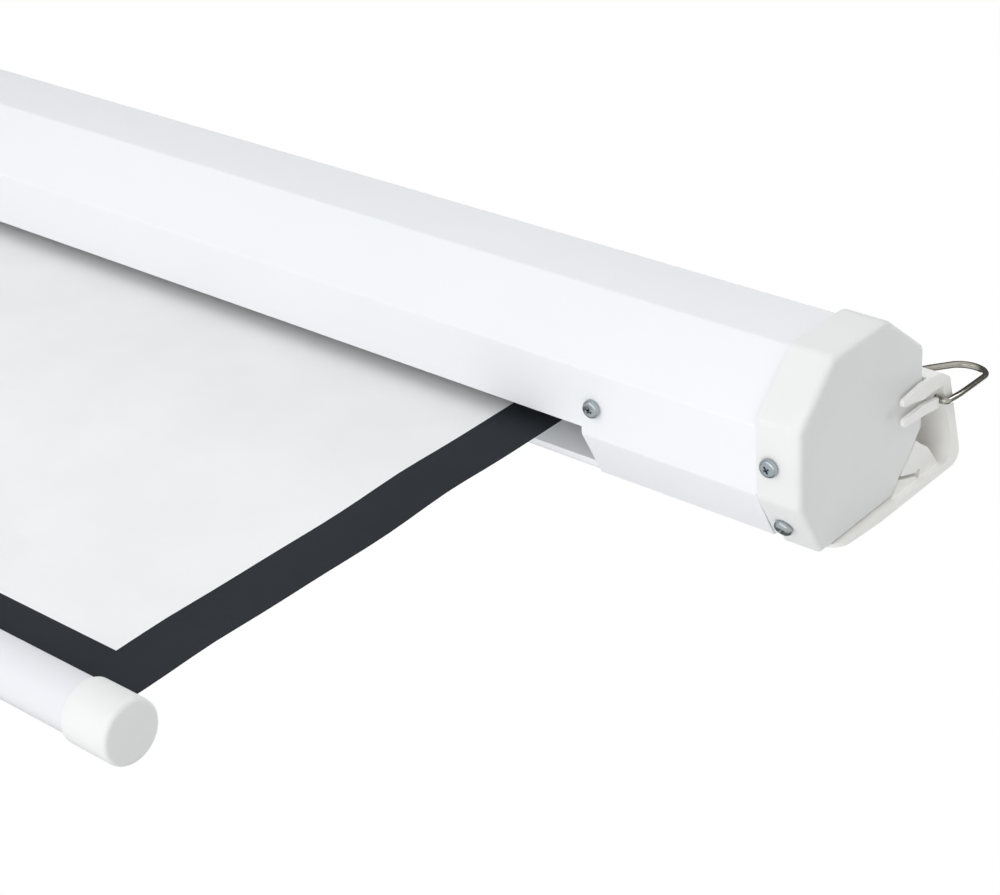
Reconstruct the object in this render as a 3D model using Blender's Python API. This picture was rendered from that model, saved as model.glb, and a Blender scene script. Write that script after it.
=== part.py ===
"""Manual pull down projector screen, modelled with its sheet drawn a short way out of the case.

+X runs along the case to the viewer's right, +Z is up and +Y points back to the wall. The origin is
half way between the two hanger plates, on the wall plane and at the height of their screw slots.
Sections are drawn in millimetres in their own frame: y is measured back from the front of the end
caps and z is measured up from the underside of the end caps. Distances from an end run inwards
from the outer face of that end's cap.
"""

import math

import bmesh
import bpy
from mathutils import Matrix, Vector

MM = 0.001

# Picture and sheet
PICTURE_WIDTH = 1594.0
SIDE_BORDER = 22.5
END_MARGIN = 109.5
SHEET_THICKNESS = 0.4
WOUND_LENGTH = 1150.0
SHEET_OUT = 209.6

# End caps: outer section, with each corner cut given as (y, z)
CAP_DEPTH = 71.5
CAP_HEIGHT = 75.5
CAP_FRONT_BOTTOM = (19.5, 20.2)
CAP_FRONT_TOP = (20.0, 23.5)
CAP_BACK_TOP = (19.5, 19.5)
CAP_BACK_BOTTOM = (22.7, 12.5)
CAP_RIM = 17.5
CAP_END_WALL = 2.5
CAP_WALL = 1.1
CAP_CORNER_RADIUS = 3.5
CAP_FACE_RADIUS = 2.6

# Case: outer section, set in from the caps' section
CASE_INSET_FRONT = 2.4
CASE_INSET_BACK = 1.7
CASE_INSET_BOTTOM = 1.4
CASE_INSET_TOP = 2.5
CASE_FRONT_BOTTOM = (20.6, 21.3)
CASE_FRONT_TOP = (19.2, 22.5)
CASE_BACK_TOP = (18.1, 18.1)
CASE_BACK_BOTTOM = (20.6, 10.1)
CASE_SHEET = 0.9
CASE_FOLD_RADIUS = 1.6
SLOT_END = 91.0
SLOT_FRONT_LIP = 3.0
SLOT_BACK_LIP = 2.0
PANEL_END_GAP = 0.6
TAB_STEP = 0.2
TAB_ROOT = 2.0

# Clearances
FIT = 0.3
SEAT = 0.3

# Screws
SCREW_SHANK = 3.5
SCREW_HEAD = 7.0
SCREW_HEAD_HEIGHT = 2.3
SCREW_LENGTH = 9.5
SCREW_RECESS_WIDTH = 1.0
SCREW_RECESS_SPAN = 3.8
SCREW_RECESS_DEPTH = 1.2
CAP_SCREW_INSET = 12.0
CAP_SCREW_Y = 35.4
REAR_SCREW_INSET = 11.0
REAR_SCREW_ALONG = 1.0
NOTCH_LENGTH = 3.0
NOTCH_WIDTH = 4.5
BRACKET_SCREW_INSET = 87.5
BRACKET_SCREW_Y = 37.2

# Roller, its plugs and its lock
ROLLER_FORWARD = 4.1
ROLLER_TUBE_RADIUS = 16.0
ROLLER_TUBE_WALL = 1.2
ROLLER_END = 100.0
PLUG_FLANGE_RADIUS = 19.0
PLUG_FLANGE = 2.0
PLUG_BARREL = 15.0
SHAFT_RADIUS = 4.0
SHAFT_SPEAR_FLAT = 5.0
SHAFT_SPEAR_LENGTH = 13.2
SHAFT_START = 80.0
SHAFT_PAST_ANCHOR = 11.4
COLLAR_START = 118.0
COLLAR_LENGTH = 8.0
COLLAR_RADIUS = 12.0
SPRING_LENGTH = 300.0
SPRING_RADIUS = 9.0
SPRING_WIRE = 0.9
SPRING_TURNS = 24
ANCHOR_LENGTH = 12.0
HUB_RADIUS = 8.5
HUB_LENGTH = 3.8
HUB_NOTCH_DEPTH = 2.2
HUB_NOTCH_WIDTH = 6.0
PAWL_PIVOT_RADIUS = 14.0
PAWL_PIN_RADIUS = 1.4
PAWL_EYE_RADIUS = 2.9
PAWL_WIDTH = 2.4
PAWL_REACH_ANGLE = 50.0
PAWL_TIP_CLEAR = 0.6
PAWL_THICKNESS = 3.5
IDLER_LENGTH = 41.0
IDLER_START = 84.0
BUSHING_RADIUS = 6.5
BUSHING_FLANGE_RADIUS = 8.5
BUSHING_FLANGE = 1.7

# Roller brackets inside the case
BRACKET_START = 79.0
BRACKET_DEPTH = 14.0
BRACKET_WALL = 2.5
BRACKET_WEB = 2.5

# Bottom bar
BAR_RADIUS = 9.5
BAR_WALL = 1.0
BAR_END = 97.5
BAR_CAP_RADIUS = 10.9
BAR_CAP_SLEEVE = 20.0
BAR_CAP_END_WALL = 2.0
BAR_CAP_EDGE = 1.0
HEM_ROD_RADIUS = 2.5

# Handle in the middle of the bottom bar
HANDLE_WIDTH = 90.0
HANDLE_DEPTH = 14.0
HANDLE_DROP = 34.0
HANDLE_RAIL = 7.0
HANDLE_CORNER = 9.0
HANDLE_SADDLE = 4.0
HANDLE_SCREW_INSET = 12.0

# Hanger bracket: outlines are given as (y, rise over the cap's top) points
PLATE_THICKNESS = 3.2
PLATE_BOTTOM = 18.0
PLATE_CORNER = 5.0
PLATE_TAPER = 2.0
PLATE_TAPER_TOP = 46.0
BRACKET_OUT = 2.0
HOOP_FRONT_RISE = ((32.3, -18.5), (31.6, -5.5), (33.3, 7.7), (37.4, 13.7))
HOOP_BACK_RISE = 22.9
HOOP_WALL = 3.0
HOOP_TOP_WALL = 4.6
HOOP_BACK_RADIUS = 5.0
HOOP_INNER_RADIUS = 6.0
FINGER_A_BACK_RISE = ((34.9, -18.3), (36.4, -11.5), (38.6, -3.9), (38.7, 4.5), (39.6, 12.0))
FINGER_B_FRONT_RISE = ((40.1, -18.1), (40.6, -4.2), (42.3, 4.5), (43.0, 6.8))
FINGER_B_BACK_RISE = ((43.1, -17.7), (44.9, -4.0), (46.3, 4.5), (46.8, 6.8))
SADDLE_WALL = 2.2
SADDLE_INSET = 3.0
WEB_THICKNESS = 2.0
EYE_INSET = 1.2
EYE_THICKNESS = 3.5
EYE_HALF_WIDTH = 4.6
MOULD_STEP = 0.15
KEYHOLE_INSET = 9.0
KEYHOLE_ROUND = 4.0
KEYHOLE_SLOT = 2.1
KEYHOLE_DROP = 6.0
KEYHOLE_TOP_RISE = -3.5
GUSSET_INSET = 0.4
GUSSET_WALL = 3.0
GUSSET_FOOT_RISE = -3.5
GUSSET_SHOULDER = (62.0, 4.0)
GUSSET_TOP_RISE = 11.5
RELIEF_ROUND = 1.5
RELIEF_SLIT = 1.2
RELIEF_RISE = -2.1
RELIEF_LEAN = 18.0
LUG_WIDTH = 8.0
LUG_SIZE = 6.0
LUG_DEPTH = 1.0

# Hanging loop
LOOP_WIRE = 1.3
LOOP_PIVOT_Y = 44.7
LOOP_PIVOT_RISE = 8.8
LOOP_HEIGHT = 36.4
LOOP_LEAN = 8.0
LOOP_BEND = 7.1
LOOP_SKEW = 1.5
LOOP_PIN = 5.0
LOOP_INNER_STRAIGHT = 19.5
LOOP_OUTER_STRAIGHT = 8.0
LOOP_SHOULDER = 5.0

HALF_LENGTH = PICTURE_WIDTH / 2 + SIDE_BORDER + END_MARGIN
WALL_Y = CAP_DEPTH + SEAT + PLATE_THICKNESS
KEYHOLE_TOP = CAP_HEIGHT + KEYHOLE_TOP_RISE
HANG_Z = KEYHOLE_TOP
HOOP_FRONT = tuple((y, CAP_HEIGHT + rise) for y, rise in HOOP_FRONT_RISE)
HOOP_BACK_HIGH = CAP_HEIGHT + HOOP_BACK_RISE
FINGER_A_BACK = tuple((y, CAP_HEIGHT + rise) for y, rise in FINGER_A_BACK_RISE)
FINGER_B_FRONT = tuple((y, CAP_HEIGHT + rise) for y, rise in FINGER_B_FRONT_RISE)
FINGER_B_BACK = tuple((y, CAP_HEIGHT + rise) for y, rise in FINGER_B_BACK_RISE)
LOOP_PIVOT = (LOOP_PIVOT_Y, CAP_HEIGHT + LOOP_PIVOT_RISE)
CASE_FRONT = CASE_INSET_FRONT
CASE_BACK = CAP_DEPTH - CASE_INSET_BACK
CASE_BOTTOM = CASE_INSET_BOTTOM
CASE_TOP = CAP_HEIGHT - CASE_INSET_TOP
ROLLER_Y = (CASE_FRONT + CASE_BACK) / 2 - ROLLER_FORWARD
ROLLER_Z = (CASE_BOTTOM + CASE_TOP) / 2
ROLL_RADIUS = math.sqrt(
    (ROLLER_TUBE_RADIUS + FIT) ** 2 + WOUND_LENGTH * SHEET_THICKNESS / math.pi
)
SHEET_FRONT_Y = ROLLER_Y + ROLL_RADIUS + FIT
BAR_Y = SHEET_FRONT_Y + SHEET_THICKNESS / 2
BAR_Z = CASE_BOTTOM - SHEET_OUT
HEM_Z = BAR_Z + BAR_RADIUS - BAR_WALL - 2 * FIT - SHEET_THICKNESS - HEM_ROD_RADIUS
PLUG_FLANGE_END = ROLLER_END - FIT
ANCHOR_START = COLLAR_START + COLLAR_LENGTH + SPRING_LENGTH + 2 * FIT
SHAFT_END = ANCHOR_START + ANCHOR_LENGTH + SHAFT_PAST_ANCHOR
WEB_END = BRACKET_START + BRACKET_DEPTH
HANGER_CENTRE_INSET = (CAP_RIM - BRACKET_OUT) / 2
HANDLE_SCREW_SPACING = HANDLE_WIDTH - 2 * HANDLE_SCREW_INSET

ROUND_STEPS = 28


def clear_scene():
    """Remove what the file holds, so that the model starts empty."""
    for old in list(bpy.data.objects):
        bpy.data.objects.remove(old, do_unlink=True)


def make_material(name, colour, roughness, metallic=0.0):
    """A Principled BSDF with a plain colour."""
    material = bpy.data.materials.new(name)
    material.use_nodes = True
    shader = material.node_tree.nodes["Principled BSDF"]
    shader.inputs["Base Color"].default_value = (*colour, 1.0)
    shader.inputs["Roughness"].default_value = roughness
    shader.inputs["Metallic"].default_value = metallic
    material.diffuse_color = (*colour, 1.0)
    return material


def make_materials():
    """Every material of the screen, by the name that the pieces use."""
    return {
        "white_paint": make_material("white_paint", (0.84, 0.85, 0.87), 0.35),
        "white_plastic": make_material("white_plastic", (0.80, 0.80, 0.79), 0.45),
        "grey_plastic": make_material("grey_plastic", (0.30, 0.31, 0.33), 0.55),
        "nylon": make_material("nylon", (0.72, 0.70, 0.62), 0.50),
        "zinc": make_material("zinc", (0.55, 0.60, 0.63), 0.35, 1.0),
        "steel": make_material("steel", (0.45, 0.45, 0.45), 0.30, 1.0),
        "sheet": make_material("sheet", (0.80, 0.80, 0.82), 0.90),
    }


def place(x, y, z):
    """World position, in metres, of a point given in the section frame in millimetres."""
    return Vector((x, y - WALL_Y, z - HANG_Z)) * MM


def from_end(side, inset):
    """X of a point that lies a distance in from the outer face of one end cap."""
    return side * (HALF_LENGTH - inset)


def add_object(name, bm, material, origin, parent=None):
    """Turn section coordinates into an object whose own origin is the given section point."""
    origin = Vector(origin)
    for vertex in bm.verts:
        vertex.co = (vertex.co - origin) * MM
    bmesh.ops.recalc_face_normals(bm, faces=bm.faces)
    mesh = bpy.data.meshes.new(name)
    bm.to_mesh(mesh)
    bm.free()
    if material is not None:
        mesh.materials.append(material)
    piece = bpy.data.objects.new(name, mesh)
    bpy.context.collection.objects.link(piece)
    piece.location = place(*origin)
    if parent is not None:
        piece.parent = parent
        piece.location = place(*origin) - parent.location
    return piece


def add_axis(name, origin):
    """An empty that stands on a joint's axis and carries the pieces which move with it."""
    axis = bpy.data.objects.new(name, None)
    axis.empty_display_size = 20 * MM
    axis.location = place(*origin)
    bpy.context.collection.objects.link(axis)
    return axis


def combine(piece, tool, operation):
    """Cut a piece with a tool, or join the tool to it."""
    modifier = piece.modifiers.new(f"{operation.lower()}_{tool.name}", "BOOLEAN")
    modifier.operation = operation
    modifier.solver = "EXACT"
    modifier.object = tool
    tool.hide_render = True
    tool.display_type = "WIRE"


def cut(piece, tool):
    """Take a tool's volume out of a piece."""
    combine(piece, tool, "DIFFERENCE")


def join(piece, tool):
    """Add a tool's volume to a piece."""
    combine(piece, tool, "UNION")


def smooth_round(piece, angle=35.0):
    """Shade a round piece smooth, with its real edges kept sharp."""
    piece.data.shade_smooth()
    piece.data.set_sharp_from_angle(angle=math.radians(angle))


def octagon(front, back, bottom, top, front_bottom, front_top, back_top, back_bottom):
    """Eight corners of a section, from the front flat's lower end over the top and round."""
    return [
        Vector((front, bottom + front_bottom[1])),
        Vector((front, top - front_top[1])),
        Vector((front + front_top[0], top)),
        Vector((back - back_top[0], top)),
        Vector((back, top - back_top[1])),
        Vector((back, bottom + back_bottom[1])),
        Vector((back - back_bottom[0], bottom)),
        Vector((front + front_bottom[0], bottom)),
    ]


def cap_section():
    """Outer corners of an end cap."""
    return octagon(
        0.0, CAP_DEPTH, 0.0, CAP_HEIGHT, CAP_FRONT_BOTTOM, CAP_FRONT_TOP, CAP_BACK_TOP, CAP_BACK_BOTTOM
    )


def case_section():
    """Outer corners of the case."""
    return octagon(
        CASE_FRONT,
        CASE_BACK,
        CASE_BOTTOM,
        CASE_TOP,
        CASE_FRONT_BOTTOM,
        CASE_FRONT_TOP,
        CASE_BACK_TOP,
        CASE_BACK_BOTTOM,
    )


def inset(corners, distance):
    """Move every side of a convex outline inwards by a distance, or outwards if it is negative."""
    centre = sum(corners, Vector((0.0, 0.0))) / len(corners)
    sides = []
    for index, start in enumerate(corners):
        end = corners[(index + 1) % len(corners)]
        along = (end - start).normalized()
        normal = Vector((-along.y, along.x))
        if normal.dot(centre - start) < 0:
            normal.negate()
        sides.append((start + normal * distance, along))
    moved = []
    for index in range(len(corners)):
        start, along = sides[index - 1]
        other, across = sides[index]
        turn = along.x * across.y - along.y * across.x
        gap = other - start
        reach = (gap.x * across.y - gap.y * across.x) / turn
        moved.append(start + along * reach)
    return moved


def rounded(corners, radius, steps=3):
    """Replace each corner of an outline by an arc; radius is one value or one for each corner."""
    radii = radius if isinstance(radius, (list, tuple)) else [radius] * len(corners)
    outline = []
    for index, corner in enumerate(corners):
        if radii[index] <= 0:
            outline.append(corner)
            continue
        before = (corners[index - 1] - corner).normalized()
        after = (corners[(index + 1) % len(corners)] - corner).normalized()
        half = before.angle(after) / 2
        centre = corner + (before + after).normalized() * radii[index] / math.sin(half)
        start = corner + before * radii[index] / math.tan(half) - centre
        end = corner + after * radii[index] / math.tan(half) - centre
        sweep = math.atan2(start.x * end.y - start.y * end.x, start.dot(end))
        for step in range(steps + 1):
            turned = Matrix.Rotation(sweep * step / steps, 2) @ start
            outline.append(centre + turned)
    return outline


def circle(y, z, radius, steps=ROUND_STEPS):
    """Outline of a circle in the section plane."""
    return [
        Vector((y + radius * math.cos(math.tau * k / steps), z + radius * math.sin(math.tau * k / steps)))
        for k in range(steps)
    ]


def prism(outline, start, end, bm=None):
    """A section outline carried along X."""
    bm = bm or bmesh.new()
    ring = [bm.verts.new((start, point[0], point[1])) for point in outline]
    face = bm.faces.new(ring)
    pushed = bmesh.ops.extrude_face_region(bm, geom=[face], use_keep_orig=True)
    moved = [item for item in pushed["geom"] if isinstance(item, bmesh.types.BMVert)]
    bmesh.ops.translate(bm, verts=moved, vec=(end - start, 0.0, 0.0))
    return bm


def pipe(outer, inner, start, end):
    """A hollow section carried along X; both outlines have the same number of points."""
    bm = bmesh.new()
    rings = []
    for x, outline in ((start, outer), (end, outer), (end, inner), (start, inner)):
        rings.append([bm.verts.new((x, point[0], point[1])) for point in outline])
    count = len(outer)
    for index, ring in enumerate(rings):
        following = rings[(index + 1) % len(rings)]
        for k in range(count):
            bm.faces.new((ring[k], ring[(k + 1) % count], following[(k + 1) % count], following[k]))
    return bm


def turned(profile, y, z, steps=ROUND_STEPS, closed=False, bm=None):
    """Spin a profile of (x, radius) points about the line along X through (y, z)."""
    bm = bm or bmesh.new()
    points = [bm.verts.new((x, y + radius, z)) for x, radius in profile]
    edges = [bm.edges.new(pair) for pair in zip(points, points[1:])]
    if closed:
        edges.append(bm.edges.new((points[-1], points[0])))
    bmesh.ops.spin(
        bm,
        geom=points + edges,
        cent=(0.0, y, z),
        axis=(1.0, 0.0, 0.0),
        angle=math.tau,
        steps=steps,
        use_merge=True,
    )
    bmesh.ops.remove_doubles(bm, verts=bm.verts, dist=0.001)
    return bm


def ring(start, end, outer, inner, y, z, steps=ROUND_STEPS):
    """A round sleeve along X."""
    profile = [(start, inner), (start, outer), (end, outer), (end, inner)]
    return turned(profile, y, z, steps, closed=True)


def rod(start, end, radius, y, z, steps=ROUND_STEPS):
    """A round bar along X."""
    return turned([(start, 0.0), (start, radius), (end, radius), (end, 0.0)], y, z, steps)


def block(low, high):
    """A box between two corners of the section frame."""
    outline = [(low[1], low[2]), (high[1], low[2]), (high[1], high[2]), (low[1], high[2])]
    return prism(outline, low[0], high[0])


def direction_matrix(position, direction):
    """A frame whose X axis points along a direction, at a position."""
    turn = Vector((1.0, 0.0, 0.0)).rotation_difference(Vector(direction)).to_matrix().to_4x4()
    return Matrix.Translation(Vector(position)) @ turn


def screw_profile():
    """Half outline of a pan head screw from its point to its crown, with its seat at zero."""
    head = SCREW_HEAD / 2
    shank = SCREW_SHANK / 2
    return [
        (-SCREW_LENGTH, 0.0),
        (-SCREW_LENGTH + shank, shank),
        (0.0, shank),
        (0.0, head),
        (SCREW_HEAD_HEIGHT * 0.45, head * 0.97),
        (SCREW_HEAD_HEIGHT * 0.80, head * 0.78),
        (SCREW_HEAD_HEIGHT, head * 0.42),
        (SCREW_HEAD_HEIGHT, 0.0),
    ]


def add_screw(name, placement, material, parent=None):
    """One screw on its seat, its head turned to the given direction, with a cross recess."""
    position, direction = placement
    seat = Vector(position) + Vector(direction) * SEAT
    matrix = direction_matrix(seat, direction)
    bm = turned(screw_profile(), 0.0, 0.0, 16)
    bmesh.ops.transform(bm, matrix=matrix, verts=bm.verts)
    screw = add_object(name, bm, material, seat, parent)
    smooth_round(screw)
    low = SCREW_HEAD_HEIGHT - SCREW_RECESS_DEPTH
    high = SCREW_HEAD_HEIGHT + 1.0
    for word, wide, tall in (
        ("wide", SCREW_RECESS_SPAN / 2, SCREW_RECESS_WIDTH / 2),
        ("tall", SCREW_RECESS_WIDTH / 2, SCREW_RECESS_SPAN / 2),
    ):
        arm = block((low, -wide, -tall), (high, wide, tall))
        bmesh.ops.transform(arm, matrix=matrix, verts=arm.verts)
        cut(screw, add_object(f"{name}_recess_{word}", arm, None, seat, parent))
    return screw


def hole_tool(name, position, direction, radius, depth):
    """A round tool that runs both ways through a wall at a screw's position."""
    bm = rod(-depth, depth, radius, 0.0, 0.0, 20)
    bmesh.ops.transform(bm, matrix=direction_matrix(position, direction), verts=bm.verts)
    return add_object(name, bm, None, (0.0, 0.0, 0.0))


def cap_chamfer_frame():
    """Middle of the cap's lower rear flat and that flat's outward direction, in (y, z)."""
    corners = cap_section()
    low, high = corners[6], corners[5]
    along = (high - low).normalized()
    return (low + high) / 2, Vector((along.y, -along.x)), along


def cap_screw_places(side):
    """The two screws of one end cap: one in the underside, one in the lower rear flat."""
    middle, outward, along = cap_chamfer_frame()
    spot = middle + along * REAR_SCREW_ALONG
    return [
        ((from_end(side, CAP_SCREW_INSET), CAP_SCREW_Y, 0.0), (0.0, 0.0, -1.0)),
        ((from_end(side, REAR_SCREW_INSET), spot.x, spot.y), (0.0, outward.x, outward.y)),
    ]


def bracket_screw_places(side):
    """The two screws of one roller bracket, through the case's underside and its top."""
    x = from_end(side, BRACKET_SCREW_INSET)
    return [
        ((x, BRACKET_SCREW_Y, CASE_BOTTOM), (0.0, 0.0, -1.0)),
        ((x, BRACKET_SCREW_Y, CASE_TOP), (0.0, 0.0, 1.0)),
    ]


def add_case(materials):
    """The case: an octagonal steel tube with the sheet's slot and the openings for its screws."""
    corners = case_section()
    outer = rounded(corners, CASE_FOLD_RADIUS)
    inner = rounded(inset(corners, CASE_SHEET), CASE_FOLD_RADIUS - CASE_SHEET)
    end = HALF_LENGTH - CAP_END_WALL - FIT
    case = add_object("case", pipe(outer, inner, -end, end), materials["white_paint"], (0.0, 0.0, 0.0))

    slot_front = corners[6].x - SLOT_FRONT_LIP
    slot_top = corners[5].y + SLOT_BACK_LIP
    slot_outline = [
        (slot_front, CASE_BOTTOM - 3.0),
        (slot_front, CASE_BOTTOM + 2.0 * CASE_SHEET),
        (CASE_BACK - 3.0, slot_top),
        (CASE_BACK + 3.0, slot_top),
        (CASE_BACK + 3.0, CASE_BOTTOM - 3.0),
    ]
    reach = HALF_LENGTH - SLOT_END
    cut(case, add_object("slot_tool", prism(slot_outline, -reach, reach), None, (0.0, 0.0, 0.0)))

    cut_line = inset(cap_section(), CAP_WALL + FIT)
    tab_outer = inset(cap_section(), CAP_WALL + FIT + TAB_STEP)
    tab_inner = inset(cap_section(), CAP_WALL + FIT + TAB_STEP + CASE_SHEET)
    low, high = cut_line[6], cut_line[5]
    along = (high - low).normalized()
    root = Vector((TAB_ROOT, 0.0))
    beyond_panel = [
        low - along * 3.0,
        high + along * 3.0,
        Vector((CASE_BACK + 6.0, high.y)),
        Vector((CASE_BACK + 6.0, CASE_BOTTOM - 6.0)),
        Vector((low.x, CASE_BOTTOM - 6.0)),
    ]
    tab = [
        tab_outer[6] - root,
        tab_outer[6],
        tab_outer[5] - along * TAB_ROOT,
        tab_inner[5] - along * TAB_ROOT,
        tab_inner[6],
        tab_inner[6] - root,
    ]
    for side, word in ((1, "right"), (-1, "left")):
        panel_end = from_end(side, CAP_RIM + PANEL_END_GAP)
        end_tool = prism(beyond_panel, panel_end, from_end(side, 0.0))
        cut(case, add_object(f"panel_end_tool_{word}", end_tool, None, (0.0, 0.0, 0.0)))
        tab_end = from_end(side, CAP_END_WALL + FIT)
        tab_piece = prism(tab, panel_end - side * TAB_ROOT, tab_end - side * TAB_STEP)
        join(case, add_object(f"screw_tab_{word}", tab_piece, None, (0.0, 0.0, 0.0)))
        for number, (position, direction) in enumerate(cap_screw_places(side) + bracket_screw_places(side)):
            name = f"case_hole_{word}_{number}"
            cut(case, hole_tool(name, position, direction, SCREW_SHANK / 2 + FIT, 6.0))
    return case


def add_end_cap(side, word, materials):
    """One plastic end cap: a shallow cup over the end of the case, notched at its lower rear corner."""
    outer = rounded(cap_section(), CAP_CORNER_RADIUS)
    face_x = from_end(side, 0.0)
    rim_x = from_end(side, CAP_RIM)
    bm = prism(outer, rim_x, face_x)
    face_edges = [edge for edge in bm.edges if all(abs(v.co.x - face_x) < 0.001 for v in edge.verts)]
    bmesh.ops.bevel(
        bm,
        geom=face_edges,
        offset=CAP_FACE_RADIUS,
        segments=3,
        profile=0.5,
        affect="EDGES",
        clamp_overlap=True,
    )
    cap = add_object(f"end_cap_{word}", bm, materials["white_plastic"], (0.0, 0.0, 0.0))
    smooth_round(cap, 25.0)

    inside_x = from_end(side, CAP_END_WALL)
    open_x = from_end(side, CAP_RIM + 5.0)
    hollow = rounded(inset(case_section(), -FIT), CASE_FOLD_RADIUS + FIT)
    tool = add_object(f"cap_hollow_{word}", prism(hollow, open_x, inside_x), None, (0, 0, 0))
    bound = prism(inset(cap_section(), CAP_WALL), open_x + side * -5.0, inside_x + side * 5.0)
    combine(tool, add_object(f"cap_bound_{word}", bound, None, (0, 0, 0)), "INTERSECT")
    cut(cap, tool)

    under, rear = cap_screw_places(side)
    hole = SCREW_SHANK / 2 + FIT
    cut(cap, hole_tool(f"cap_hole_{word}", under[0], under[1], hole, 6.0))
    cut(cap, hole_tool(f"cap_notch_hole_{word}", rear[0], rear[1], hole, 6.0))
    corner = cap_section()[5]
    notch = block((-NOTCH_LENGTH, -CAP_WALL * 3, -NOTCH_WIDTH), (NOTCH_LENGTH, 3.0, NOTCH_WIDTH * 1.5))
    turn = Matrix.Rotation(math.atan2(rear[1][2], rear[1][1]), 4, "X")
    move = Matrix.Translation(Vector((rim_x, corner.x, corner.y))) @ turn
    bmesh.ops.transform(notch, matrix=move, verts=notch.verts)
    cut(cap, add_object(f"cap_notch_{word}", notch, None, (0, 0, 0)))
    cut(cap, lug_tool(side, word, FIT))
    return cap


def lug_outline(growth):
    """Section of the snap lug that locks a hanger bracket into its end cap."""
    corners = cap_section()
    top, back = corners[3], corners[4]
    middle = (top + back) / 2
    along = (back - top).normalized()
    outward = Vector((-along.y, along.x))
    half = along * (LUG_SIZE / 2 + growth)
    deep = outward * (LUG_DEPTH + growth)
    high = outward * (SEAT + SADDLE_WALL / 2)
    return [middle - half - deep, middle + half - deep, middle + half + high, middle - half + high]


def lug_tool(side, word, growth):
    """The lug's volume, or its hole in the cap when it is grown by the fit."""
    centre = CAP_RIM / 2 + 1.0
    start = from_end(side, centre - LUG_WIDTH / 2 - growth)
    end = from_end(side, centre + LUG_WIDTH / 2 + growth)
    name = f"lug_hole_{word}" if growth > 0 else f"lug_{word}"
    return add_object(name, prism(lug_outline(growth), start, end), None, (0, 0, 0))


def hoop_top_line(y, down=0.0):
    """Z of the hoop's sloping top at a depth, moved down by a distance."""
    corner = HOOP_FRONT[-1]
    slope = (HOOP_BACK_HIGH - corner[1]) / (WALL_Y - corner[0])
    return corner[1] + (y - corner[0]) * slope - down


def line_at(points, height):
    """Y of a broken line of (y, z) points at a height."""
    for low, high in zip(points, points[1:]):
        if low[1] <= height <= high[1]:
            return low[0] + (high[0] - low[0]) * (height - low[1]) / (high[1] - low[1])
    return points[0][0] if height < points[0][1] else points[-1][0]


def finger_outline(front, back, thin):
    """Section of a finger on the cap's face, between its front and its back line."""
    step = Vector((thin, 0.0))
    points = [Vector(point) + step for point in front]
    points += [Vector(point) - step for point in reversed(back)]
    tip = (points[-1] - points[0]).length * 0.42
    return rounded(points, [tip] + [0.0] * (len(points) - 2) + [tip])


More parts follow.
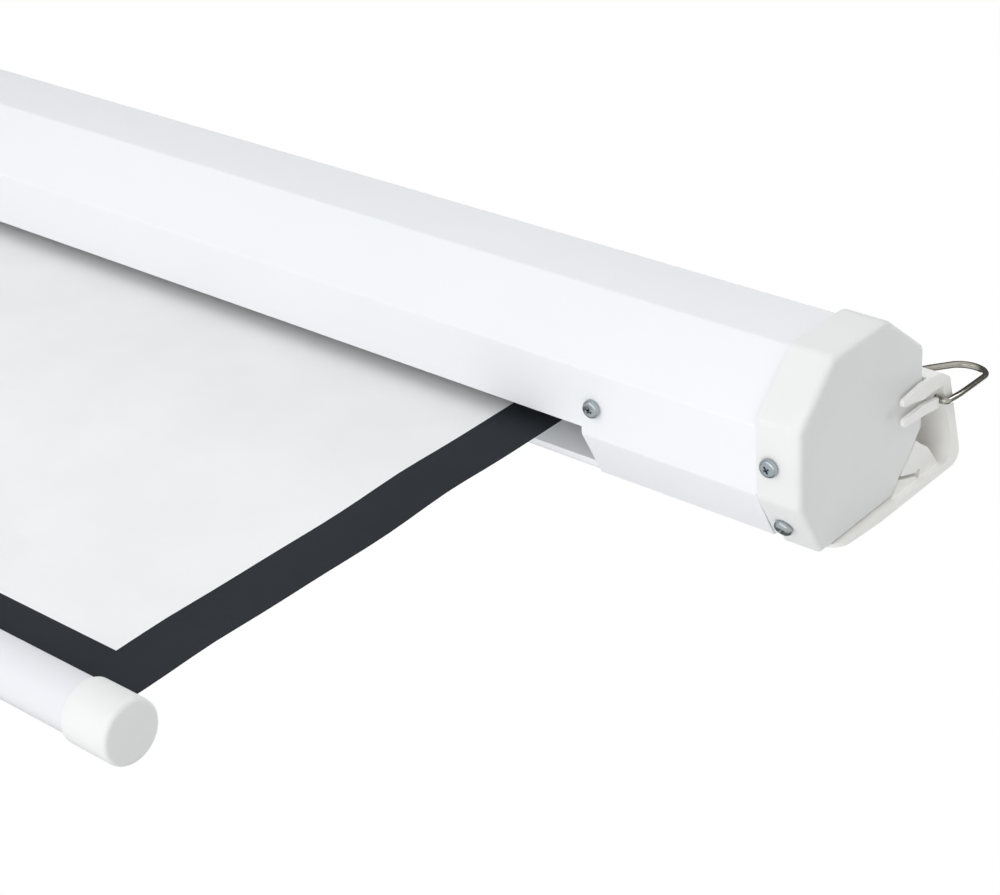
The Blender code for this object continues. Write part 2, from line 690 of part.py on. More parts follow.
def add_hanger_bracket(side, word, materials):
    """One hanger bracket: wall plate, sloping hoop, saddle on the cap, fingers and loop eyes."""
    cap = cap_section()
    plate_front = CAP_DEPTH + SEAT
    out_x = from_end(side, -BRACKET_OUT)
    in_x = from_end(side, CAP_RIM)
    foot_z = CAP_HEIGHT + SEAT
    origin = (0.0, 0.0, 0.0)

    foot = Vector((line_at(HOOP_FRONT, foot_z), foot_z))
    knee, corner = Vector(HOOP_FRONT[2]), Vector(HOOP_FRONT[3])
    wall = Vector((HOOP_WALL, 0.0))
    corner_inner_y = corner.x + HOOP_WALL * 0.6
    hoop = rounded(
        [
            foot,
            knee,
            corner,
            Vector((WALL_Y, HOOP_BACK_HIGH)),
            Vector((WALL_Y, PLATE_TAPER_TOP)),
            Vector((WALL_Y - PLATE_TAPER, PLATE_BOTTOM)),
            Vector((plate_front, PLATE_BOTTOM)),
            Vector((plate_front, hoop_top_line(plate_front, HOOP_TOP_WALL))),
            Vector((corner_inner_y, hoop_top_line(corner_inner_y, HOOP_TOP_WALL))),
            knee + wall,
            foot + wall,
        ],
        [0.0, 4.0, 2.0, HOOP_BACK_RADIUS, 0.0, 0.4, 0.4, HOOP_INNER_RADIUS, 0.6, 0.6, 0.0],
        4,
    )
    bracket = add_object(
        f"hanger_bracket_{word}", prism(hoop, in_x, out_x), materials["white_plastic"], origin
    )
    smooth_round(bracket, 25.0)

    saddle_line = inset(cap, -SEAT)
    saddle_outer = inset(cap, -(SEAT + SADDLE_WALL))
    rooted = Vector((plate_front + 1.0, 0.0))
    saddle = [
        foot + Vector((0.5, 0.0)),
        saddle_line[3],
        saddle_line[4],
        Vector((rooted.x, saddle_line[4].y)),
        Vector((rooted.x, saddle_outer[4].y)),
        saddle_outer[4],
        saddle_outer[3],
        Vector((foot.x + 1.0, saddle_outer[3].y)),
    ]
    saddle_x = from_end(side, SADDLE_INSET)
    saddle_start = in_x + side * MOULD_STEP
    join(bracket, add_object(f"saddle_{word}", prism(saddle, saddle_start, saddle_x), None, origin))
    join(bracket, lug_tool(side, word, 0.0))

    web = [
        Vector((foot.x + 1.0, foot_z + 0.5)),
        knee + Vector((1.0, 0.0)),
        Vector((corner.x + 0.5, hoop_top_line(corner.x + 0.5, 1.5))),
        Vector((rooted.x, hoop_top_line(rooted.x, 1.5))),
        Vector((rooted.x, saddle_line[4].y + 2.0)),
        saddle_line[4] + Vector((0.0, 1.0)),
        saddle_line[3] + Vector((0.0, 0.7)),
    ]
    web_x = from_end(side, CAP_RIM - WEB_THICKNESS)
    far = prism(web, in_x + side * 2 * MOULD_STEP, web_x)
    join(bracket, add_object(f"far_web_{word}", far, None, origin))
    add_gusset(bracket, side, word, saddle_line, plate_front)

    pivot = Vector(LOOP_PIVOT)
    eye_low = pivot.y - EYE_HALF_WIDTH
    eye = rounded(
        [
            Vector((pivot.x - EYE_HALF_WIDTH, hoop_top_line(pivot.x - EYE_HALF_WIDTH, 1.5))),
            Vector((pivot.x - EYE_HALF_WIDTH, eye_low)),
            Vector((pivot.x + EYE_HALF_WIDTH, eye_low)),
            Vector((pivot.x + EYE_HALF_WIDTH, hoop_top_line(pivot.x + EYE_HALF_WIDTH, 1.5))),
        ],
        [0.0, 2.0, 3.5, 0.0],
    )
    eye_start = from_end(side, -BRACKET_OUT + EYE_INSET)
    eye_end = from_end(side, -BRACKET_OUT + EYE_INSET + EYE_THICKNESS)
    join(bracket, add_object(f"loop_eye_{word}", prism(eye, eye_start, eye_end), None, origin))

    finger_in = from_end(side, -SEAT)
    finger_out = out_x - side * MOULD_STEP
    finger_a = finger_outline(HOOP_FRONT[:3], FINGER_A_BACK, MOULD_STEP)
    join(bracket, add_object(f"finger_a_{word}", prism(finger_a, finger_in, finger_out), None, origin))
    finger_b = finger_outline(FINGER_B_FRONT, FINGER_B_BACK, 0.0)
    join(bracket, add_object(f"finger_b_{word}", prism(finger_b, finger_in, finger_out), None, origin))

    pivot_hole = rod(in_x - side * 3.0, out_x + side * 3.0, LOOP_WIRE + FIT, pivot.x, pivot.y, 12)
    cut(bracket, add_object(f"pivot_hole_{word}", pivot_hole, None, origin))
    slot_x = from_end(side, KEYHOLE_INSET)
    cut(bracket, add_object(f"keyhole_{word}", keyhole_mesh(slot_x), None, origin))
    middle = from_end(side, HANGER_CENTRE_INSET)
    cut(bracket, add_object(f"plate_end_tool_{word}", plate_end_mesh(middle), None, origin))
    return bracket


def add_gusset(bracket, side, word, seat_line, plate_front):
    """Add the gusset between the cap's rear slope and the wall plate, with its relief slit and hole."""
    high, low = seat_line[3], seat_line[4]
    slope = (low - high).normalized()
    outward = Vector((-slope.y, slope.x))
    foot = high + slope * ((high.y - (CAP_HEIGHT + GUSSET_FOOT_RISE)) / -slope.y) + outward * MOULD_STEP
    rooted = plate_front + 0.6
    outline = rounded(
        [
            foot,
            foot + outward * SADDLE_WALL,
            Vector((GUSSET_SHOULDER[0], CAP_HEIGHT + GUSSET_SHOULDER[1])),
            Vector((rooted, CAP_HEIGHT + GUSSET_TOP_RISE)),
            Vector((rooted, low.y + 1.0)),
            low + outward * MOULD_STEP,
        ],
        [0.0, 1.5, 4.0, 0.0, 0.0, 0.0],
    )
    start = from_end(side, GUSSET_INSET + GUSSET_WALL)
    end = from_end(side, GUSSET_INSET)
    origin = (0.0, 0.0, 0.0)
    join(bracket, add_object(f"gusset_{word}", prism(outline, start, end), None, origin))
    hole = Vector((plate_front - RELIEF_ROUND - 0.3, CAP_HEIGHT + RELIEF_RISE))
    lean = math.radians(RELIEF_LEAN)
    down = Vector((-math.sin(lean), -math.cos(lean)))
    across = Vector((down.y, -down.x)) * RELIEF_SLIT / 2
    far = hole + down * (CAP_HEIGHT - low.y)
    slit = [hole + across, far + across, far - across, hole - across]
    clear = side * 0.5
    slot = prism(slit, start - clear, end + clear)
    cut(bracket, add_object(f"relief_slit_{word}", slot, None, origin))
    round_hole = rod(start - clear, end + clear, RELIEF_ROUND, hole.x, hole.y, 16)
    cut(bracket, add_object(f"relief_hole_{word}", round_hole, None, origin))


def keyhole_mesh(centre):
    """Tool for the screw slot of a wall plate: a round entry with a narrower slot above it."""
    low = KEYHOLE_TOP - KEYHOLE_DROP
    outline = []
    steps = 16
    open_half = math.asin(KEYHOLE_SLOT / KEYHOLE_ROUND)
    for k in range(steps + 1):
        angle = math.pi / 2 + open_half + (math.tau - 2 * open_half) * k / steps
        x = centre + KEYHOLE_ROUND * math.cos(angle)
        outline.append((x, low + KEYHOLE_ROUND * math.sin(angle)))
    for k in range(7):
        angle = math.pi * k / 6
        x = centre + KEYHOLE_SLOT * math.cos(angle)
        outline.append((x, KEYHOLE_TOP + KEYHOLE_SLOT * math.sin(angle)))
    return plate_prism(outline, WALL_Y - PLATE_THICKNESS - 1.5, WALL_Y + 2.0)


def plate_end_mesh(centre):
    """Tool that rounds the two lower corners of a wall plate."""
    half = (CAP_RIM + BRACKET_OUT) / 2
    low = PLATE_BOTTOM + MOULD_STEP
    rise = low + PLATE_CORNER
    outline = [(centre - half - 3.0, rise)]
    arcs = ((math.pi, centre - half + PLATE_CORNER), (math.pi * 1.5, centre + half - PLATE_CORNER))
    for start, x in arcs:
        for k in range(6):
            angle = start + math.pi / 2 * k / 5
            corner_x = x + PLATE_CORNER * math.cos(angle)
            outline.append((corner_x, rise + PLATE_CORNER * math.sin(angle)))
    outline.append((centre + half + 3.0, rise))
    outline.append((centre + half + 3.0, low - 3.0))
    outline.append((centre - half - 3.0, low - 3.0))
    return plate_prism(outline, CAP_DEPTH + SEAT / 2, WALL_Y + 3.0)


def plate_prism(outline, front, back):
    """An outline of (x, z) points carried along Y."""
    bm = bmesh.new()
    face = bm.faces.new([bm.verts.new((x, front, z)) for x, z in outline])
    pushed = bmesh.ops.extrude_face_region(bm, geom=[face], use_keep_orig=True)
    moved = [item for item in pushed["geom"] if isinstance(item, bmesh.types.BMVert)]
    bmesh.ops.translate(bm, verts=moved, vec=(0.0, back - front, 0.0))
    return bm


def loop_points(side):
    """Centre line of a hanging loop in section coordinates, from its inner pin to its outer pin."""
    outer_leg = HALF_LENGTH + BRACKET_OUT + FIT + LOOP_WIRE
    inner_leg = HALF_LENGTH - CAP_RIM - FIT - LOOP_WIRE
    middle = (outer_leg + inner_leg) / 2
    half = (outer_leg - inner_leg) / 2
    flat = [
        Vector((middle - half + LOOP_PIN, 0.0)),
        Vector((middle - half, 0.0)),
        Vector((middle - half, LOOP_INNER_STRAIGHT)),
    ]
    outer_shoulder = Vector((middle + half, LOOP_OUTER_STRAIGHT))
    arc_centre = Vector((middle + LOOP_SKEW, LOOP_HEIGHT - LOOP_BEND))
    reach = arc_centre - flat[-1]
    start = math.atan2(reach.y, reach.x) + math.asin(LOOP_BEND / reach.length) + math.pi / 2
    reach = arc_centre - outer_shoulder
    end = math.atan2(reach.y, reach.x) - math.asin(LOOP_BEND / reach.length) - math.pi / 2
    for k in range(13):
        angle = start + (end - start) * k / 12
        flat.append(arc_centre + LOOP_BEND * Vector((math.cos(angle), math.sin(angle))))
    flat += [
        outer_shoulder,
        Vector((middle + half, 0.0)),
        Vector((middle + half - LOOP_PIN, 0.0)),
    ]
    tight = LOOP_WIRE * 1.4
    count = len(flat)
    smooth = soften(flat, {1: tight, 2: LOOP_SHOULDER, count - 3: LOOP_SHOULDER, count - 2: tight})
    lean = math.radians(LOOP_LEAN)
    return [
        Vector((side * p.x, LOOP_PIVOT[0] + p.y * math.sin(lean), LOOP_PIVOT[1] + p.y * math.cos(lean)))
        for p in smooth
    ]


def soften(points, bends):
    """Replace the named points of a path by arcs that start the given distance from them."""
    path = []
    for index, point in enumerate(points):
        if index not in bends or index in (0, len(points) - 1):
            path.append(point)
            continue
        before = points[index - 1] - point
        after = points[index + 1] - point
        reach = min(bends[index], before.length * 0.45, after.length * 0.45)
        start = point + before.normalized() * reach
        end = point + after.normalized() * reach
        for k in range(4):
            t = k / 3
            path.append(start * (1 - t) ** 2 + point * 2 * t * (1 - t) + end * t * t)
    return path


def add_wire(name, points, radius, material, origin, parent=None, resolution=2):
    """A bent wire: a poly curve with a round bevel and closed ends."""
    curve = bpy.data.curves.new(name, "CURVE")
    curve.dimensions = "3D"
    curve.bevel_depth = radius * MM
    curve.bevel_resolution = resolution
    curve.use_fill_caps = True
    curve.materials.append(material)
    spline = curve.splines.new("POLY")
    spline.points.add(len(points) - 1)
    for target, point in zip(spline.points, points):
        target.co = (*((point - Vector(origin)) * MM), 1.0)
    wire = bpy.data.objects.new(name, curve)
    bpy.context.collection.objects.link(wire)
    wire.location = place(*origin)
    if parent is not None:
        wire.parent = parent
        wire.location = place(*origin) - parent.location
    return wire


def add_hanging_loop(side, word, materials):
    """One wire loop that swings on a hanger bracket, on an empty at its pivot."""
    origin = (from_end(side, HANGER_CENTRE_INSET), *LOOP_PIVOT)
    axis = add_axis(f"loop_axis_{word}", origin)
    add_wire(f"hanging_loop_{word}", loop_points(side), LOOP_WIRE, materials["steel"], origin, axis)


def add_roller_bracket(side, word, materials):
    """One roller bracket: a shallow box inside the case whose web carries the roller's end."""
    outer = inset(case_section(), CASE_SHEET + FIT)
    inner = inset(outer, BRACKET_WALL)
    start = from_end(side, BRACKET_START)
    end = from_end(side, WEB_END)
    web_face = from_end(side, WEB_END - BRACKET_WEB)
    origin = (0.0, 0.0, 0.0)
    bm = prism(rounded(outer, 1.2), start, end)
    bracket = add_object(f"roller_bracket_{word}", bm, materials["grey_plastic"], origin)
    hollow = prism(rounded(inner, 1.0), start + side * 2.0, web_face)
    cut(bracket, add_object(f"bracket_hollow_{word}", hollow, None, origin))
    if side > 0:
        flat = SHAFT_SPEAR_FLAT / 2 + FIT
        wide = SHAFT_RADIUS + FIT
        low = (end - side * 4.0, ROLLER_Y - flat, ROLLER_Z - wide)
        high = (web_face + side * 4.0, ROLLER_Y + flat, ROLLER_Z + wide)
        cut(bracket, add_object("spear_slot_tool", block(low, high), None, origin))
    else:
        seat = rod(end - side * 4.0, web_face + side * 4.0, BUSHING_RADIUS + FIT, ROLLER_Y, ROLLER_Z)
        cut(bracket, add_object("bushing_hole_tool", seat, None, origin))
    for number, (position, direction) in enumerate(bracket_screw_places(side)):
        name = f"bracket_hole_{word}_{number}"
        cut(bracket, hole_tool(name, position, direction, SCREW_SHANK / 2 + FIT, 6.0))
    return bracket


def add_roller(materials, axis):
    """The turning pieces: tube, wound sheet, two end plugs, spring anchor and idler pin."""
    y, z = ROLLER_Y, ROLLER_Z
    origin = (0.0, y, z)
    reach = HALF_LENGTH - ROLLER_END
    bore = ROLLER_TUBE_RADIUS - ROLLER_TUBE_WALL
    tube = ring(-reach, reach, ROLLER_TUBE_RADIUS, bore, y, z)
    smooth_round(add_object("roller_tube", tube, materials["zinc"], origin, axis))
    sheet_reach = PICTURE_WIDTH / 2 + SIDE_BORDER
    wound = ring(-sheet_reach, sheet_reach, ROLL_RADIUS, ROLLER_TUBE_RADIUS + FIT, y, z, 40)
    smooth_round(add_object("fabric_roll", wound, materials["sheet"], origin, axis))

    for side, word in ((1, "right"), (-1, "left")):
        face = from_end(side, PLUG_FLANGE_END - PLUG_FLANGE)
        shoulder = from_end(side, PLUG_FLANGE_END)
        tail = from_end(side, PLUG_FLANGE_END + PLUG_BARREL)
        hole = SHAFT_RADIUS + FIT
        profile = [
            (face, hole),
            (face, PLUG_FLANGE_RADIUS),
            (shoulder, PLUG_FLANGE_RADIUS),
            (shoulder, bore - FIT),
            (tail, bore - FIT),
            (tail, hole),
        ]
        plug = add_object(
            f"roller_plug_{word}", turned(profile, y, z, closed=True), materials["grey_plastic"], origin, axis
        )
        smooth_round(plug)
        if side > 0:
            for sign in (1, -1):
                pin_y = y + sign * PAWL_PIVOT_RADIUS
                pin_end = face + side * (PAWL_THICKNESS + FIT)
                pin = rod(face - side * PLUG_FLANGE / 2, pin_end, PAWL_PIN_RADIUS, pin_y, z, 14)
                join(plug, add_object(f"pawl_pin_{'rear' if sign > 0 else 'front'}", pin, None, origin, axis))

    anchor_tail = from_end(1, ANCHOR_START + ANCHOR_LENGTH)
    anchor = ring(anchor_tail, from_end(1, ANCHOR_START), bore - FIT, SHAFT_RADIUS + FIT, y, z)
    smooth_round(add_object("spring_anchor", anchor, materials["grey_plastic"], origin, axis))
    pin = rod(from_end(-1, IDLER_START), from_end(-1, IDLER_START + IDLER_LENGTH), SHAFT_RADIUS, y, z)
    smooth_round(add_object("idler_pin", pin, materials["steel"], origin, axis))


def add_shaft(materials):
    """The fixed pieces inside the roller: shaft with its spear end, collar, spring, hub and bushing."""
    y, z = ROLLER_Y, ROLLER_Z
    origin = (0.0, y, z)
    start = from_end(1, SHAFT_START)
    bm = rod(from_end(1, SHAFT_END), start, SHAFT_RADIUS, y, z)
    shaft = add_object("spring_shaft", bm, materials["steel"], origin)
    smooth_round(shaft)
    for sign, word in ((1, "rear"), (-1, "front")):
        low = (start - SHAFT_SPEAR_LENGTH, y + sign * SHAFT_SPEAR_FLAT / 2, z - 6.0)
        high = (start + 2.0, y + sign * 7.0, z + 6.0)
        cut(shaft, add_object(f"spear_tool_{word}", block(low, high), None, origin))

    collar_start = from_end(1, COLLAR_START)
    collar = ring(collar_start - COLLAR_LENGTH, collar_start, COLLAR_RADIUS, SHAFT_RADIUS + FIT, y, z)
    smooth_round(add_object("spring_collar", collar, materials["nylon"], origin))

    hub_start = from_end(1, WEB_END + FIT)
    bm = ring(hub_start - HUB_LENGTH, hub_start, HUB_RADIUS, SHAFT_RADIUS + FIT, y, z)
    hub = add_object("ratchet_hub", bm, materials["zinc"], origin)
    smooth_round(hub)
    for sign, word in ((1, "rear"), (-1, "front")):
        angle = math.radians(PAWL_REACH_ANGLE) + (0.0 if sign > 0 else math.pi)
        low = (hub_start - 8.0, -HUB_NOTCH_DEPTH, -HUB_NOTCH_WIDTH / 2)
        high = (hub_start + 3.0, 3.0, HUB_NOTCH_WIDTH / 2)
        notch = block(low, high)
        move = Matrix.Translation(Vector((0.0, y, z))) @ Matrix.Rotation(angle, 4, "X")
        move = move @ Matrix.Translation(Vector((0.0, HUB_RADIUS, 0.0)))
        bmesh.ops.transform(notch, matrix=move, verts=notch.verts)
        cut(hub, add_object(f"notch_tool_{word}", notch, None, origin))

    spring_start = collar_start - COLLAR_LENGTH - FIT - SPRING_WIRE
    run = SPRING_LENGTH - 2 * SPRING_WIRE
    count = SPRING_TURNS * 10
    coil = []
    for k in range(count + 1):
        angle = math.tau * SPRING_TURNS * k / count
        coil_y = y + SPRING_RADIUS * math.cos(angle)
        coil_z = z + SPRING_RADIUS * math.sin(angle)
        coil.append(Vector((spring_start - run * k / count, coil_y, coil_z)))
    pitch = run / SPRING_TURNS
    print("least gap between spring turns, mm:", round(pitch - 2 * SPRING_WIRE, 2))
    add_wire("torsion_spring", coil, SPRING_WIRE, materials["steel"], origin, resolution=1)

    flange_start = from_end(-1, WEB_END + FIT)
    inner_x = flange_start + BUSHING_FLANGE
    outer_x = from_end(-1, WEB_END - BRACKET_WEB - 1.5)
    hole = SHAFT_RADIUS + FIT
    profile = [
        (inner_x, hole),
        (inner_x, BUSHING_FLANGE_RADIUS),
        (flange_start, BUSHING_FLANGE_RADIUS),
        (flange_start, BUSHING_RADIUS),
        (outer_x, BUSHING_RADIUS),
        (outer_x, hole),
    ]
    bushing = add_object("idler_bushing", turned(profile, y, z, closed=True), materials["nylon"], origin)
    smooth_round(bushing)


def add_pawl(sign, word, materials, axis):
    """One pawl of the lock, with its eye on the right plug's pin and its tip over a hub notch."""
    pivot = Vector((ROLLER_Y + sign * PAWL_PIVOT_RADIUS, ROLLER_Z))
    tip_radius = HUB_RADIUS + PAWL_TIP_CLEAR + PAWL_WIDTH / 2
    angle = math.radians(PAWL_REACH_ANGLE)
    tip = Vector((ROLLER_Y, ROLLER_Z)) + sign * tip_radius * Vector((math.cos(angle), math.sin(angle)))
    along = (tip - pivot).normalized()
    across = Vector((-along.y, along.x)) * PAWL_WIDTH / 2
    far = pivot + along * ((tip - pivot).length + PAWL_WIDTH / 2)
    near = pivot + along * PAWL_EYE_RADIUS * 0.6
    arm = rounded([near + across, far + across, far - across, near - across], [0, 0.5, 0.5, 0], 2)
    end = from_end(1, PLUG_FLANGE_END - PLUG_FLANGE - FIT)
    start = end + PAWL_THICKNESS - 0.3
    origin = (end, pivot.x, pivot.y)
    pawl_axis = add_axis(f"pawl_axis_{word}", origin)
    pawl_axis.parent = axis
    pawl_axis.location = place(*origin) - axis.location
    eye = rod(end, start, PAWL_EYE_RADIUS, pivot.x, pivot.y, 20)
    pawl = add_object(f"pawl_{word}", eye, materials["zinc"], origin)
    smooth_round(pawl)
    arm_tool = add_object(f"pawl_arm_{word}", prism(arm, end + 0.01, start - 0.01), None, origin)
    hole = rod(end - 2.0, start + 2.0, PAWL_PIN_RADIUS + FIT, pivot.x, pivot.y, 14)
    hole_object = add_object(f"pawl_eye_tool_{word}", hole, None, origin)
    join(pawl, arm_tool)
    cut(pawl, hole_object)
    for item in (pawl, arm_tool, hole_object):
        item.parent = pawl_axis
        item.location = (0.0, 0.0, 0.0)


def add_sheet(materials, axis):
    """The sheet that hangs between the wound roll and the bottom bar, with a hem round its rod."""
    reach = PICTURE_WIDTH / 2 + SIDE_BORDER
    back = SHEET_FRONT_Y + SHEET_THICKNESS
    origin = (0.0, BAR_Y, BAR_Z)
    hem_inner = HEM_ROD_RADIUS + FIT
    hem_outer = hem_inner + SHEET_THICKNESS
    hem_top = HEM_Z + hem_inner + SHEET_THICKNESS / 2
    strip = [(SHEET_FRONT_Y, hem_top), (SHEET_FRONT_Y, ROLLER_Z), (back, ROLLER_Z), (back, hem_top)]
    sheet = add_object("screen_sheet", prism(strip, -reach, reach), materials["sheet"], origin, axis)
    hem = ring(-reach, reach, hem_outer, hem_inner, BAR_Y, HEM_Z, 20)
    join(sheet, add_object("hem_loop", hem, None, origin, axis))


def add_bar(materials, axis):
    """The bottom bar: slotted tube, hem rod and two end caps."""
    y, z = BAR_Y, BAR_Z
    origin = (0.0, y, z)
    reach = HALF_LENGTH - BAR_END
    bm = ring(-reach, reach, BAR_RADIUS, BAR_RADIUS - BAR_WALL, y, z)
    tube = add_object("bottom_bar", bm, materials["white_paint"], origin, axis)
    smooth_round(tube)
    half_slot = SHEET_THICKNESS / 2 + FIT
    slot = block((-reach - 5.0, y - half_slot, z), (reach + 5.0, y + half_slot, z + BAR_RADIUS + 3.0))
    cut(tube, add_object("bar_slot_tool", slot, None, origin, axis))
    for x in (-HANDLE_SCREW_SPACING / 2, HANDLE_SCREW_SPACING / 2):
        name = f"bar_hole_{'right' if x > 0 else 'left'}"
        under = (x, y, z - BAR_RADIUS)
        hole = hole_tool(name, under, (0.0, 0.0, -1.0), SCREW_SHANK / 2 + FIT, 5.0)
        cut(tube, hole)
    hem_reach = PICTURE_WIDTH / 2 + SIDE_BORDER
    bm = rod(-hem_reach, hem_reach, HEM_ROD_RADIUS, y, HEM_Z, 16)
    smooth_round(add_object("hem_rod", bm, materials["nylon"], origin, axis))

    for side, word in ((1, "right"), (-1, "left")):
        face = from_end(side, BAR_END - FIT - BAR_CAP_END_WALL)
        mouth = from_end(side, BAR_END - FIT - BAR_CAP_END_WALL + BAR_CAP_SLEEVE)
        floor = from_end(side, BAR_END - FIT)
        edge = BAR_CAP_EDGE
        bore = BAR_RADIUS + FIT
        profile = [
            (floor, 0.0),
            (floor, bore),
            (mouth, bore),
            (mouth, BAR_CAP_RADIUS),
            (face - side * edge, BAR_CAP_RADIUS),
            (face - side * edge * 0.3, BAR_CAP_RADIUS - edge * 0.3),
            (face, BAR_CAP_RADIUS - edge),
            (face, 0.0),
        ]
        cap = add_object(f"bar_cap_{word}", turned(profile, y, z), materials["white_plastic"], origin, axis)
        smooth_round(cap)
        low_x = from_end(side, END_MARGIN - FIT)
        high_x = mouth - side * 3.0
        slit = block((low_x, y - half_slot, z + 2.0), (high_x, y + half_slot, z + BAR_CAP_RADIUS + 3.0))
        cut(cap, add_object(f"bar_cap_slit_{word}", slit, None, origin, axis))


def handle_outline():
    """Front view of the pull handle: a bar under the tube with a finger opening below it."""
    half = HANDLE_WIDTH / 2
    top = BAR_Z - BAR_RADIUS - FIT
    saddle = top - HANDLE_SADDLE
    low = saddle - HANDLE_DROP
    pull = HANDLE_SCREW_SPACING / 2 - SCREW_HEAD
    outer = rounded(
        [
            Vector((-half, top)),
            Vector((-half, saddle)),
            Vector((-pull, saddle)),
            Vector((-pull, low)),
            Vector((pull, low)),
            Vector((pull, saddle)),
            Vector((half, saddle)),
            Vector((half, top)),
        ],
        [0.5, 1.5, 1.5, HANDLE_CORNER, HANDLE_CORNER, 1.5, 1.5, 0.5],
        5,
    )
    rail = HANDLE_RAIL
    inner_radius = HANDLE_CORNER - 3.0
    finger = rounded(
        [
            Vector((-pull + rail, saddle)),
            Vector((-pull + rail, low + rail)),
            Vector((pull - rail, low + rail)),
            Vector((pull - rail, saddle)),
        ],
        [2.0, inner_radius, inner_radius, 2.0],
        5,
    )
    return outer, finger


def add_handle(materials, axis):
    """The pull handle under the middle of the bar, and its two screws."""
    origin = (0.0, BAR_Y, BAR_Z)
    outer, finger = handle_outline()
    half = HANDLE_DEPTH / 2
    bm = plate_prism(outer, BAR_Y - half, BAR_Y + half)
    handle = add_object("pull_handle", bm, materials["white_plastic"], origin, axis)
    tool = plate_prism(finger, BAR_Y - half - 3.0, BAR_Y + half + 3.0)
    cut(handle, add_object("finger_tool", tool, None, origin, axis))
    seat_z = BAR_Z - BAR_RADIUS - FIT - HANDLE_SADDLE
    for side, word in ((1, "right"), (-1, "left")):
        position = (side * HANDLE_SCREW_SPACING / 2, BAR_Y, seat_z)
        down = (0.0, 0.0, -1.0)
        cut(handle, hole_tool(f"handle_hole_{word}", position, down, SCREW_SHANK / 2 + FIT, 8.0))
        add_screw(f"handle_screw_{word}", (position, down), materials["zinc"], axis)


def build():
    """Make every piece of the screen."""
    clear_scene()
    materials = make_materials()
    add_case(materials)
    for side, word in ((1, "right"), (-1, "left")):
        add_end_cap(side, word, materials)
        add_hanger_bracket(side, word, materials)
        add_hanging_loop(side, word, materials)
        add_roller_bracket(side, word, materials)
        under, rear = cap_screw_places(side)
        add_screw(f"cap_screw_{word}_under", under, materials["zinc"])
        add_screw(f"cap_screw_{word}_rear", rear, materials["zinc"])
        below, above = bracket_screw_places(side)
        add_screw(f"roller_bracket_screw_{word}_below", below, materials["zinc"])
        add_screw(f"roller_bracket_screw_{word}_above", above, materials["zinc"])
    add_shaft(materials)
    roller_axis = add_axis("roller_axis", (0.0, ROLLER_Y, ROLLER_Z))
    add_roller(materials, roller_axis)
    add_pawl(1, "rear", materials, roller_axis)
    add_pawl(-1, "front", materials, roller_axis)
    bar_axis = add_axis("bar_axis", (0.0, BAR_Y, BAR_Z))
    add_sheet(materials, bar_axis)
    add_bar(materials, bar_axis)
    add_handle(materials, bar_axis)


build()
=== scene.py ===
"""Looks of a pull down projector screen, laid out as a Blender add-on and run as a script.

Sections are given as (y, z) points: y is measured back from the front plane of the end caps and z
is measured up from their underside. Distances from an end run inwards from the outer face of that
end's cap. Everything is in metres, apart from the tables of section points in millimetres.
"""

import math

import bmesh
import bpy
from bpy.props import FloatProperty, FloatVectorProperty, IntProperty, PointerProperty
from mathutils import Matrix, Vector


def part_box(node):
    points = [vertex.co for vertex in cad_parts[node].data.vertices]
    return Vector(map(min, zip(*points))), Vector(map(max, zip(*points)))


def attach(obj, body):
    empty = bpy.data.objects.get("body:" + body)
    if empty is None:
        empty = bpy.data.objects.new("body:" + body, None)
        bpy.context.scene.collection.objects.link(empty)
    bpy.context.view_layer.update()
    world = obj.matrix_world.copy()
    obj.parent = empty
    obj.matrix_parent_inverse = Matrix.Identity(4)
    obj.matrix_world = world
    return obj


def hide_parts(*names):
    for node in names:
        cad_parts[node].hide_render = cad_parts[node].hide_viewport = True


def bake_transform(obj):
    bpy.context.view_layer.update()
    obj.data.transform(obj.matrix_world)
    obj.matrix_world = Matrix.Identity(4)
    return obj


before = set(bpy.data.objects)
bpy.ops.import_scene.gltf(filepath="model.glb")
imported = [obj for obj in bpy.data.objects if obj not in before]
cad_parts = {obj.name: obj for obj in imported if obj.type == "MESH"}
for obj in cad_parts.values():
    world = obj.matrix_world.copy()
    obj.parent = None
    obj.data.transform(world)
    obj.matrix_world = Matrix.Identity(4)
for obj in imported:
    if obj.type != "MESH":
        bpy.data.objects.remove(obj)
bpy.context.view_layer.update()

bl_info = {
    "name": "Pull Down Projector Screen",
    "version": (1, 0, 0),
    "blender": (4, 5, 0),
    "location": "View3D > Sidebar > Projector Screen",
    "description": "Builds the finished pieces and the studio of a manual projector screen",
    "category": "Object",
}

MM = 0.001
SAME = 1e-6  # places closer than this are one place
GAP = 0.0003  # clearance between pieces that fit together
HAIR = 0.00015  # keeps the faces of two joined solids off each other's planes
CLOTH = 0.0004  # from one face of the cloth to the other, and so the pitch of the roll
CORNER_CUT = math.tan(math.radians(22.5))  # what a round of radius 1 takes off a corner's sides
SIDES = ((1, "right"), (-1, "left"))
X_AXIS = Vector((1.0, 0.0, 0.0))
Y_AXIS = Vector((0.0, 1.0, 0.0))
Z_AXIS = Vector((0.0, 0.0, 1.0))

CAP_LOW, CAP_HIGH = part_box("end_cap_right")
TUBE_LOW, TUBE_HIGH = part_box("bottom_bar")
ROD_LOW, ROD_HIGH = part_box("hem_rod")
CORE_LOW, CORE_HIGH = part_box("roller_tube")
SHEET_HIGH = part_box("screen_sheet")[1]
HALF_LENGTH = CAP_HIGH.x
RIM = CAP_HIGH.x - CAP_LOW.x
FRONT = CAP_LOW.y
BASE = CAP_LOW.z
WALL = -FRONT  # the wall's depth in a section

